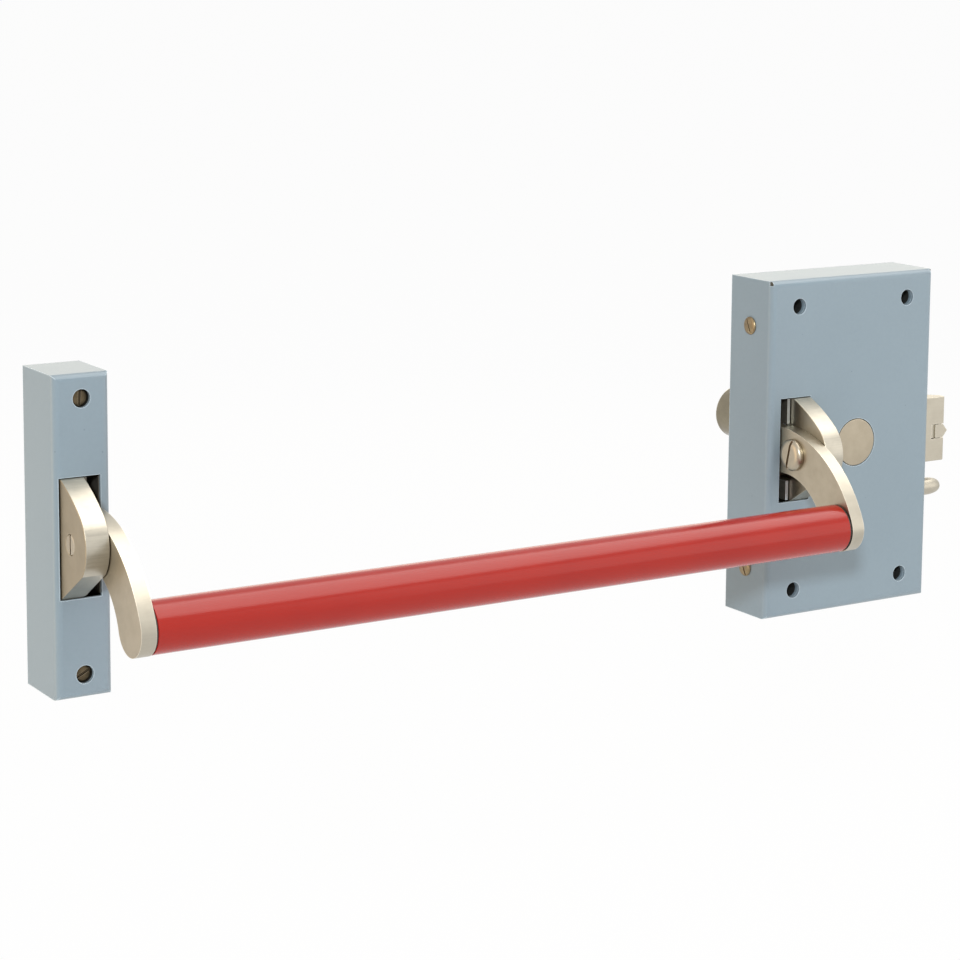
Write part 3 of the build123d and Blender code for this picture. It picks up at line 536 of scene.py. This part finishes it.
# The cap over the lock cylinder is a turned disc of satin nickel, flush in the case.
# A thin dark gap runs round it, its edge is broken, and a wider flange sits behind the sheet.
nickel = metal("satin_nickel", (0.455, 0.395, 0.300), (0.405, 0.350, 0.262), 0.36, grain=0.06,
               clouds=140.0)
cap_radius, flange_radius, cap_deep = 12.0, 14.0, 2.5
cap = turned([(0, 0), (0, cap_radius - 0.45), (0.12, cap_radius - 0.15), (0.45, cap_radius),
              (sheet, cap_radius), (sheet, flange_radius - 0.2), (sheet + 0.2, flange_radius),
              (cap_deep, flange_radius), (cap_deep, 0)], (cylinder_x, front, 0), (0, 1, 0))
finish_piece(cap, "cap_disc", nickel, "satin_nickel", "cylinder_hole_cap")


# The two arms are cut from nickel-plated bar to a curved outline, with both edges rounded over.
# Each has a thin tail with the eye for its axle, and a spigot that the bar is pushed on.
# The outlines are a lighter nickel: a finish of their own, and partly a painted highlight on lit
# bands.
ground_and_sheen_nickel = metal("ground_nickel_and_sheen", (0.520, 0.480, 0.395), (0.480, 0.440, 0.360), 0.36, grain=0.08,
               grain_way="X", bump_depth=0.12, clouds=140.0)
pivot_y, pivot_z = -18.0, 6.0
bar_y, bar_z = -78.5, -30.0
arm_left, arm_right, tail_right = -45.0, -38.0, -40.2
arm_top, arm_bottom, arm_round = 12.4, -10.6, 0.75
crown_centre, hollow_centre = (-32.17, -49.59), (-36.60, -42.40)
eye_radius, eye_start, eye_end = 9.5, 98, 310
clear_radius, clear_start, clear_end = 12.5, 235, 163
axle_bore, arm_bore = 4.05, 4.55
arm_screw_y, arm_screw_z = -43.2, 0.0
spigot_radius, spigot_long = 9.9, 26
beside_arm, beside_rocker = -50, -20


def bearing(centre, point):
    """Direction in degrees from one point in Y and Z to another."""
    return degrees(atan2(point[1] - centre[1], point[0] - centre[0]))


def about_pivot(radius, angle):
    """A point in Y and Z at an angle round the tilt axis."""
    return (pivot_y + radius * cos(radians(angle)), pivot_z + radius * sin(radians(angle)))


def drawn(start, *strokes):
    """A closed outline in Y and Z. A stroke goes to a point, or round a centre by an angle."""
    bm = bmesh.new()
    first = last = bm.verts.new((0, *start))
    longest_step = 0.7
    for stroke in strokes:
        if len(stroke) == 2:
            reached = bm.verts.new((0, *stroke))
            bm.edges.new((last, reached))
            last = reached
        else:
            y, z, angle = stroke
            run = hypot(last.co.y - y, last.co.z - z) * abs(radians(angle))
            swept = bmesh.ops.spin(bm, geom=[last], cent=(0, y, z), axis=(1, 0, 0),
                                   angle=radians(angle), steps=max(3, ceil(run / longest_step)))
            last = next(item for item in swept["geom_last"]
                        if isinstance(item, bmesh.types.BMVert))
    bm.edges.new((last, first))
    bmesh.ops.remove_doubles(bm, verts=bm.verts, dist=0.01)
    return bm


def plate(bm, x0, x1, rim=0.0):
    """An outline given its thickness along X, its rims rounded over outside the case."""
    face = bmesh.ops.contextual_create(bm, geom=bm.edges[:])["faces"][0]
    bmesh.ops.translate(bm, vec=(x0, 0, 0), verts=bm.verts)
    grown = bmesh.ops.extrude_face_region(bm, geom=[face])
    bmesh.ops.translate(bm, vec=(x1 - x0, 0, 0),
                        verts=[item for item in grown["geom"]
                               if isinstance(item, bmesh.types.BMVert)])
    bmesh.ops.recalc_face_normals(bm, faces=bm.faces)
    if rim:
        rims = [edge for edge in corners_of(bm, square_angle)
                if abs(edge.verts[0].co.x - edge.verts[1].co.x) < 0.001
                and all(vert.co.y < front - 0.2 for vert in edge.verts)]
        break_edges(bm, rims, rim, 4)
    return bm


def bored(bm, radius, y, z, start=beside_arm):
    """A body with a round hole along X, right through it or from a start inside it."""
    return combine(bm, rod_mesh(radius, (start, y, z), (beside_rocker, y, z)))


def to_other_side(bm):
    """Turns a piece of the lock side into its twin at the pivot housing."""
    bmesh.ops.scale(bm, vec=(-1, 1, 1), verts=bm.verts)
    bmesh.ops.translate(bm, vec=(2 * mirror_x, 0, 0), verts=bm.verts)
    bmesh.ops.recalc_face_normals(bm, faces=bm.faces)
    return bm


def mark_ground(bm):
    """Gives the ground outline of a plate the second material."""
    bmesh.ops.recalc_face_normals(bm, faces=bm.faces)
    for face in bm.faces:
        face.material_index = int(abs(face.normal.x) < 0.5)
    return bm


def arm_mesh():
    """The arm of the lock side: blade, tail, spigot and the bore for its screw."""
    bar = (bar_y, bar_z)
    crown_start = bearing(crown_centre, (front, arm_top))
    crown_end = bearing(crown_centre, bar)
    round_end = bearing(bar, hollow_centre)
    hollow_end = bearing(hollow_centre, (front, arm_bottom))
    blade = drawn((front, arm_top),
                  (*crown_centre, (crown_end - crown_start) % 360),
                  (*bar, (round_end - crown_end) % 360),
                  (*hollow_centre, -((round_end + 180 - hollow_end) % 360)),
                  (sheet_back, arm_bottom), about_pivot(clear_radius, clear_start),
                  (pivot_y, pivot_z, clear_end - clear_start))
    tail = drawn((front - 2, arm_top - 0.8), (sheet_back, arm_top),
                 about_pivot(eye_radius, eye_start),
                 (pivot_y, pivot_z, eye_end - 360 - eye_start), (sheet_back, arm_bottom),
                 (front - 2, arm_bottom + 0.8))
    arm = combine(plate(blade, arm_left, arm_right, arm_round),
                  plate(tail, arm_left + 0.03, tail_right), "UNION")
    arm = bored(arm, axle_bore, pivot_y, pivot_z)
    spigot = turned([(0, 0), (0, spigot_radius - 0.5), (0.5, spigot_radius),
                     (spigot_long, spigot_radius), (spigot_long, 0)],
                    (arm_left + 1 - spigot_long, bar_y, bar_z), (1, 0, 0))
    return bored(combine(arm, spigot, "UNION"), arm_bore, arm_screw_y, arm_screw_z)


finish_piece(mark_ground(arm_mesh()), "lock_arm_plate", nickel, "satin_nickel", "lock_arm",
             second=ground_and_sheen_nickel)
finish_piece(mark_ground(to_other_side(arm_mesh())), "pivot_arm_plate", nickel, "satin_nickel",
             "pivot_arm", second=ground_and_sheen_nickel)


# A rocker is a thick nickel-plated cam beside each arm, its nose brushed across its width.
# Inside the case it has the bore for the axle and a pocket for the return spring.
brushed_shaded_nickel = metal("brushed_nickel_painted_shade", (0.345, 0.285, 0.195), (0.310, 0.255, 0.172), 0.36, grain=0.06,
                grain_way="Z", bump_depth=0.12, clouds=140.0)
# The nose is a lighter copy of the nickel, with a grain across, and partly a painted highlight on
# its lit top.
nose_nickel_painted_highlight = metal("nose_nickel_painted_highlight", (0.560, 0.520, 0.435), (0.500, 0.465, 0.385), 0.36, grain=0.16,
                    grain_way="X", bump_depth=0.3, clouds=140.0, fine=1300)
rocker_left, rocker_right, rocker_round = arm_right + 0.2, -27.0, 0.35
rocker_top, chin_bottom = 26.2, -25.6
heel_radius, heel_start, hub_end = 24.15, 107.1, 80
brow_centre, nose_centre = (-2.84, -47.77), (-42.24, 0.41)
nose_start, nose_end = 129.27, 222.1
toe_y, toe_back, toe_top, toe_bottom = -31.2, -25.0, -26.4, -28.8
pocket_radius, pocket_left = 7.5, -32.6


def rocker_mesh():
    """The rocker of the lock side, with the widened mouth of its screw's bore."""
    heel_turn = bearing((pivot_y, pivot_z), (toe_y, rocker_top)) - heel_start
    brow_start = (front - 0.3, rocker_top)
    rocker = drawn(about_pivot(heel_radius, heel_start), (pivot_y, pivot_z, heel_turn), brow_start,
                   (*brow_centre, nose_start - bearing(brow_centre, brow_start)),
                   (*nose_centre, nose_end - nose_start), (front - 0.4, chin_bottom),
                   (toe_y, toe_top), (toe_y, toe_bottom), (toe_back, toe_bottom),
                   about_pivot(eye_radius, -40), (pivot_y, pivot_z, hub_end))
    rocker = plate(rocker, rocker_left, rocker_right, rocker_round)
    rocker = bored(rocker, axle_bore, pivot_y, pivot_z)
    rocker = bored(rocker, pocket_radius, pivot_y, pivot_z, pocket_left)
    bore = turned([(-1, 0), (-1, arm_bore), (10.7, arm_bore), (11.2, arm_bore + 0.5),
                   (12, arm_bore + 0.5), (12, 0)],
                  (arm_right, arm_screw_y, arm_screw_z), (1, 0, 0))
    return combine(rocker, bore)


finish_piece(mark_ground(rocker_mesh()), "lock_rocker_cam", nickel, "satin_nickel",
             "lock_rocker", second=nose_nickel_painted_highlight)
# The pivot rocker's sides are a darker copy of the nickel with an upright grain: painted shade.
finish_piece(mark_ground(to_other_side(rocker_mesh())), "pivot_rocker_cam", brushed_shaded_nickel,
             "satin_nickel", "pivot_rocker", second=nose_nickel_painted_highlight)


# One large screw joins each arm to its rocker. Its head is domed and slotted, and its far end,
# riveted flush in the rocker, has a narrow slot too.
def arm_screw_mesh():
    """The screw of the lock side, its head on the arm's left face."""
    high, dome_high, radius, dome_round, shank, length = 3.4, 2.4, 8.0, 3.6, 4.5, 18
    dome = [(dome_high - high - dome_high * sin(radians(angle)),
             radius - dome_round + dome_round * cos(radians(angle)))
            for angle in range(90, -1, -10)]
    screw = turned([(-high, 0), *dome, (-0.2, radius), (0, radius - 0.2), (0, shank),
                    (length - 0.4, shank), (length, shank - 0.4), (length, 0)],
                   (arm_left, arm_screw_y, arm_screw_z), (1, 0, 0))
    head_slot = driver_slot(width=1.6, depth=1.5, length=24, axis="X", angle=13,
                            centre=(arm_left - high, arm_screw_y, arm_screw_z))
    end_slot = driver_slot(width=1.2, depth=1.2, length=12, axis="X", angle=0,
                           centre=(rocker_right, arm_screw_y, arm_screw_z))
    return combine(combine(screw, head_slot), end_slot)


finish_piece(arm_screw_mesh(), "lock_arm_screw_domed", nickel, "satin_nickel", "lock_arm_screw",
             soft_edge=0.08)
finish_piece(to_other_side(arm_screw_mesh()), "pivot_arm_screw_domed", nickel, "satin_nickel",
             "pivot_arm_screw", soft_edge=0.08)


# The push bar is a steel tube with thick glossy red enamel, pushed on the arms' spigots.
# A dark ring sits between each of its ends and the arm.
def enamel(name, colour, deep):
    """Thick glossy paint with a faint unevenness along the tube."""
    material, tree = new_material(name)
    place = add(tree, "TexCoord").outputs["Object"]
    clouds = add(tree, "TexNoise", Vector=place, Scale=30.0, Detail=3.0).outputs["Fac"]
    paint = two_tone(tree, clouds, deep, colour, start=0.3, end=0.7)
    peel = add(tree, "TexNoise", Vector=place, Scale=380.0, Detail=1.0)
    rough = add(tree, "MapRange", Value=clouds, To_Min=0.16, To_Max=0.24)
    bump = add(tree, "Bump", Height=peel.outputs["Fac"], Strength=0.04, Distance=0.0004)
    close_material(tree, paint, rough, bump, Specular_IOR_Level=0.46)
    return material


def tube_profile(length, bore, *outer_corner):
    """The profile of a tube whose two ends are alike."""
    end = [(0, bore), *outer_corner]
    return [*end, *((length - along, radius) for along, radius in reversed(end)), end[0]]


red = enamel("red_enamel", (0.420, 0.011, 0.002), (0.390, 0.009, 0.002))
dark_rubber = metal("dark_ring", (0.035, 0.025, 0.022), (0.02, 0.015, 0.013), 0.5, metallic=0.0)
bar_radius, bar_bore, collar_radius, collar = 11.5, 10.0, 11.1, 1.0
bar_start = 2 * mirror_x - arm_left + collar
bar_length = arm_left - collar - bar_start
tube = turned(tube_profile(bar_length, bar_bore, (0, bar_radius - 0.4),
                           (0.12, bar_radius - 0.12), (0.4, bar_radius)),
              (bar_start, bar_y, bar_z), (1, 0, 0), 160)
finish_piece(tube, "push_bar_enamelled", red, "red_paint", "push_bar_tube")
rings = [turned(tube_profile(collar, bar_bore, (0, collar_radius - 0.2), (0.2, collar_radius)),
                (start, bar_y, bar_z), (1, 0, 0))
         for start in (arm_left - collar, bar_start - collar)]
finish_piece(gathered(rings), "bar_end_rings", dark_rubber, "dark_ring", "bar_end_collars")


# The latch is a satin block with a bevelled back and a slot for the trigger, a small sprung
# block whose pointed end stands just beyond it. The plunger below it is turned, with a round nose.
latch_start, latch_stop, latch_end, latch_round = 34, 50.0, 69.0, 0.5
bevel_start, bevel_turn, heel_back = 54, -40.9, -3.3
wedge_wide, wedge_half = 40, 30
trigger_top, trigger_bottom, trigger_back = 2.2, -4.8, -14.4
trigger_rear, trigger_slot_rear, trigger_end, trigger_point = 63.2, 60.5, 68.4, 2.8
trigger_middle = (trigger_top + trigger_bottom) / 2
stem_y = (latch_front + trigger_back) / 2
stem_bore, stem_radius, stem_start = 1.55, 1.5, 54.2
tongue_deep, tongue_thick, tongue_rear, tongue_room = 0.8, 1.9, 60.6, 58.2
tongue_front = latch_front + tongue_deep

latch = box_mesh(latch_start, latch_end, latch_front, latch_back, -latch_half, latch_half)
wedge = box_mesh(0, wedge_wide, 0, wedge_wide, -wedge_half, wedge_half)
bmesh.ops.rotate(wedge, cent=(0, 0, 0), matrix=Matrix.Rotation(radians(bevel_turn), 3, "Z"),
                 verts=wedge.verts)
bmesh.ops.translate(wedge, vec=(bevel_start, latch_back, 0), verts=wedge.verts)
latch = combine(latch, wedge)
heel = box_mesh(latch_start, latch_stop, latch_back - 1, heel_back, -latch_half, latch_half)
latch = combine(latch, heel, "UNION")
break_edges(latch, corners_of(latch), latch_round)
latch = combine(latch, box_mesh(trigger_slot_rear, latch_end + 6, latch_front - 2,
                                trigger_back + play, trigger_bottom - play, trigger_top + play))
latch = combine(latch, rod_mesh(stem_bore, (latch_stop + 1, stem_y, trigger_middle),
                                (trigger_slot_rear + 0.5, stem_y, trigger_middle), 32))
# The step at the trigger's rear slides in a pocket behind the slot.
latch = combine(latch, box_mesh(tongue_room, trigger_slot_rear + 0.5, tongue_front - play / 2,
                                tongue_front + tongue_thick + play / 2,
                                trigger_bottom - 0.2, trigger_top + 0.2))
finish_piece(latch, "latch_satin", ground_and_sheen_nickel, "satin_nickel", "latch_bolt", soft_edge=0.08)

trigger = box_mesh(trigger_rear, trigger_end, latch_front, trigger_back, trigger_bottom,
                   trigger_top)
tip = [face for face in trigger.faces if face.calc_center_median().x > trigger_end - 0.1]
grown = bmesh.ops.extrude_face_region(trigger, geom=tip)
point = [item for item in grown["geom"] if isinstance(item, bmesh.types.BMVert)]
bmesh.ops.delete(trigger, geom=tip, context="FACES_ONLY")
bmesh.ops.translate(trigger, vec=(trigger_point, 0, 0), verts=point)
bmesh.ops.scale(trigger, vec=(1, 1, 0.02), verts=point,
                space=Matrix.Translation((0, 0, -trigger_middle)))
break_edges(trigger, corners_of(trigger, 20), 0.12)
trigger = combine(trigger, rod_mesh(stem_radius, (stem_start, stem_y, trigger_middle),
                                    (trigger_rear + 0.8, stem_y, trigger_middle), 32), "UNION")
tongue = box_mesh(tongue_rear, trigger_rear + 1, tongue_front, tongue_front + tongue_thick,
                  trigger_bottom + 0.05, trigger_top - 0.05)
trigger = combine(trigger, tongue, "UNION")
finish_piece(trigger, "trigger_block", ground_and_sheen_nickel, "satin_nickel", "latch_trigger")

nose_from, nose_long, tip_radius, guide_start = 59, 8.5, 0.9, 16
guide_radius, flange_start, flange_end, flange_radius = 2.5, 46.5, 50.5, 6.0
nose = [(nose_from + nose_long * sin(radians(angle)),
         tip_radius + (plunger_radius - tip_radius) * cos(radians(angle)) ** 0.8)
        for angle in range(0, 90, 8)]
plunger = turned([(guide_start, 0), (guide_start, guide_radius - 0.3),
                  (guide_start + 0.3, guide_radius), (flange_start, guide_radius),
                  (flange_start, flange_radius - 0.2), (flange_start + 0.2, flange_radius),
                  (flange_end - 0.2, flange_radius),
                  (flange_end, flange_radius - 0.2), (flange_end, plunger_radius), *nose,
                  (nose_from + nose_long, tip_radius), (nose_from + nose_long, 0)],
                 (0, plunger_y, plunger_z), (1, 0, 0), 64)
finish_piece(plunger, "plunger_turned", ground_and_sheen_nickel, "satin_nickel", "deadlock_plunger")


# The lock cylinder goes through the door. Its body is polished nickel, toned down as a painted
# dark reflection, with a turned rim at the outer end, and its brass plug has the keyway.
cylinder_length, cylinder_radius, plug_radius, plug_room = 68.5, 14.0, 7.5, 7.6
clamp_z, clamp_radius, clamp_deep = 10.8, 2.05, 14
darkened_polished_nickel = metal("nickel_painted_dark_reflection", (0.28, 0.245, 0.175), (0.225, 0.195, 0.14), 0.16, grain=0.1,
                 clouds=90.0)
body = turned([(0, plug_room), (0, cylinder_radius - 0.4), (0.4, cylinder_radius),
               (66.5, cylinder_radius), (66.62, 13.9), (66.75, cylinder_radius), (66.9, 13.95),
               (cylinder_length - 0.3, 12.75), (cylinder_length, 12.2),
               (cylinder_length, plug_room + 0.3), (cylinder_length - 0.3, plug_room),
               (0, plug_room)], (cylinder_x, 0, 0), (0, 1, 0), 128)
for z in (-clamp_z, clamp_z):
    body = combine(body, rod_mesh(clamp_radius, (cylinder_x, -1, z), (cylinder_x, clamp_deep, z),
                                  32))
finish_piece(body, "cylinder_case", darkened_polished_nickel, "satin_nickel", "cylinder_body")

plug_start, plug_end, keyway_start, keyway_end = 1, 68.1, 44.5, 70
keyway_low, keyway_high, rib_low, rib_high = -5.5, 3.5, -2.2, -0.9
plug = turned([(plug_start, 0), (plug_start, plug_radius - 0.2), (plug_start + 0.2, plug_radius),
               (plug_end - 0.5, plug_radius), (plug_end, plug_radius - 0.5), (plug_end, 0)],
              (cylinder_x, 0, 0), (0, 1, 0))
keyway = combine(box_mesh(cylinder_x - 1.1, cylinder_x + 1.1, keyway_start, keyway_end,
                          keyway_low, keyway_high),
                 box_mesh(cylinder_x - 1.8, cylinder_x + 1.8, keyway_start + 0.1, keyway_end,
                          rib_low, rib_high), "UNION")
tailpiece_slot = box_mesh(cylinder_x - 3.1, cylinder_x + 3.1, 0, 8.1, -1, 1)
plug = combine(combine(plug, keyway), tailpiece_slot)
finish_piece(plug, "cylinder_plug_brass", brass, "brass", "cylinder_plug", soft_edge=0.08)


# Plates, brackets and the drive behind the covers are zinc-plated steel, pressed and punched,
# with burnished edges. They show through the slots and from behind.
zinc = metal("zinc_plate", (0.56, 0.55, 0.52), (0.46, 0.45, 0.425), 0.40, grain=0.08,
             metallic=0.6, clouds=90.0)
burnished = metal("burnished_steel", (0.58, 0.63, 0.66), (0.48, 0.52, 0.55), 0.36, grain=0.12,
                  grain_way="Z", metallic=0.7, clouds=200.0)
painted_shade_steel = metal("painted_shade_steel", (0.15, 0.135, 0.11), (0.11, 0.10, 0.082), 0.42, metallic=0.5,
                   clouds=200.0)
shade_black_steel = metal("near_black_painted_shade", (0.055, 0.055, 0.050), (0.035, 0.035, 0.032), 0.5,
                  metallic=0.3, clouds=200.0)


def worked(node, material, slot, edge, second=None, painted_to=None):
    """A pressed or turned part in its CAD shape, with its edges broken.

    The second material goes on its faces in front of a depth, or on those that look forwards.
    """
    bm = bmesh.new()
    bm.from_mesh(frame["nodes"][node].data)
    bmesh.ops.scale(bm, vec=(1 / mm, 1 / mm, 1 / mm), verts=bm.verts)
    bmesh.ops.remove_doubles(bm, verts=bm.verts, dist=0.002)
    bmesh.ops.dissolve_limit(bm, angle_limit=radians(1), verts=bm.verts, edges=bm.edges)
    if painted_to is not None:
        bmesh.ops.bisect_plane(bm, geom=bm.verts[:] + bm.edges[:] + bm.faces[:],
                               plane_co=(0, painted_to, 0), plane_no=(0, 1, 0))
    for face in bm.faces:
        if painted_to is not None:
            face.material_index = int(face.calc_center_median().y < painted_to)
        elif second:
            face.material_index = int(face.normal.y < -0.7)
    finish_piece(bm, node + "_worked", material, slot, node, soft_edge=edge, second=second)


for node in ("lock_back_plate", "pivot_back_plate", "drive_slide", "latch_guide", "latch_tail",
             "bell_crank", "cylinder_cam", "cylinder_tailpiece"):
    worked(node, zinc, "zinc_steel", 0.25)
# The sleeves are near black, a painted shade inside the fixing holes; paint runs up their mouths.
worked("mounting_sleeves", shade_black_steel, "zinc_steel", 0.1, second=cover_paint,
       painted_to=sheet_back + 2.0)
worked("pivot_sleeves", shade_black_steel, "zinc_steel", 0.1)
for node in ("crank_post", "cam_bush", "crank_pins", "slide_studs", "drive_lug",
             "cylinder_screws"):
    worked(node, zinc, "zinc_steel", 0.15)
# The brackets' dark steel is painted shade; the lock bracket's forward faces are burnished.
worked("lock_bracket", painted_shade_steel, "zinc_steel", 0.2, second=burnished)
worked("pivot_bracket", painted_shade_steel, "zinc_steel", 0.2)
for node in ("lock_axle", "pivot_axle"):
    worked(node, burnished, "zinc_steel", 0.2)


# All springs are wound from round wire: one under the drive slide, one behind the trigger,
# one behind the plunger, and a torsion spring round each axle.
spring_wire = metal("spring_wire", (0.34, 0.32, 0.29), (0.24, 0.225, 0.20), 0.35)


def wound(wire, radius, length, turns, start, axis):
    """Round wire wound into a spring that starts at a point and runs along an axis."""
    bm = bmesh.new()
    steps_per_turn, wire_sides = 32, 12
    steps = ceil(turns * steps_per_turn)
    ring = bmesh.ops.create_circle(bm, segments=wire_sides, radius=wire)["verts"]
    bmesh.ops.rotate(bm, cent=(0, 0, 0), matrix=Matrix.Rotation(pi / 2, 3, "X"), verts=ring)
    bmesh.ops.translate(bm, vec=(radius - wire, 0, wire), verts=ring)
    bmesh.ops.spin(bm, geom=bm.verts[:] + bm.edges[:], cent=(0, 0, 0), axis=(0, 0, 1),
                   dvec=(0, 0, (length - 2 * wire) / steps), angle=turns * 2 * pi, steps=steps)
    bmesh.ops.holes_fill(bm, edges=[edge for edge in bm.edges if edge.is_boundary])
    turn = Vector(axis).to_track_quat("Z", "Y").to_matrix().to_4x4()
    bmesh.ops.transform(bm, matrix=Matrix.Translation(start) @ turn, verts=bm.verts)
    return bm


low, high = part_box("slide_spring")
slide_spring = wound(wire=0.35, radius=2.5, length=(high.z - low.z) / mm, turns=9,
                     start=((low.x + high.x) / 2 / mm, (low.y + high.y) / 2 / mm, low.z / mm),
                     axis=(0, 0, 1))
piece = finish_piece(slide_spring, "slide_spring_wound", spring_wire, "spring_steel",
                     "slide_spring")
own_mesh(piece)

low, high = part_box("trigger_spring")
trigger_spring = wound(wire=0.25, radius=2.9, length=(high.x - low.x) / mm, turns=3,
                       start=(low.x / mm, stem_y, trigger_middle), axis=(1, 0, 0))
piece = finish_piece(trigger_spring, "trigger_spring_wound", spring_wire, "spring_steel",
                     "trigger_spring")
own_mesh(piece)

low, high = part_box("plunger_spring")
plunger_spring = wound(wire=0.5, radius=4.6, length=(high.x - low.x) / mm, turns=7,
                       start=(low.x / mm, plunger_y, plunger_z), axis=(1, 0, 0))
piece = finish_piece(plunger_spring, "plunger_spring_wound", spring_wire, "spring_steel",
                     "plunger_spring")
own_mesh(piece)

for node in ("lock_torsion_spring", "pivot_torsion_spring"):
    low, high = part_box(node)
    torsion_spring = wound(wire=0.75, radius=6.9, length=(high.x - low.x) / mm, turns=3,
                           start=(low.x / mm, pivot_y, pivot_z), axis=(1, 0, 0))
    finish_piece(torsion_spring, node + "_wound", spring_wire, "spring_steel", node)
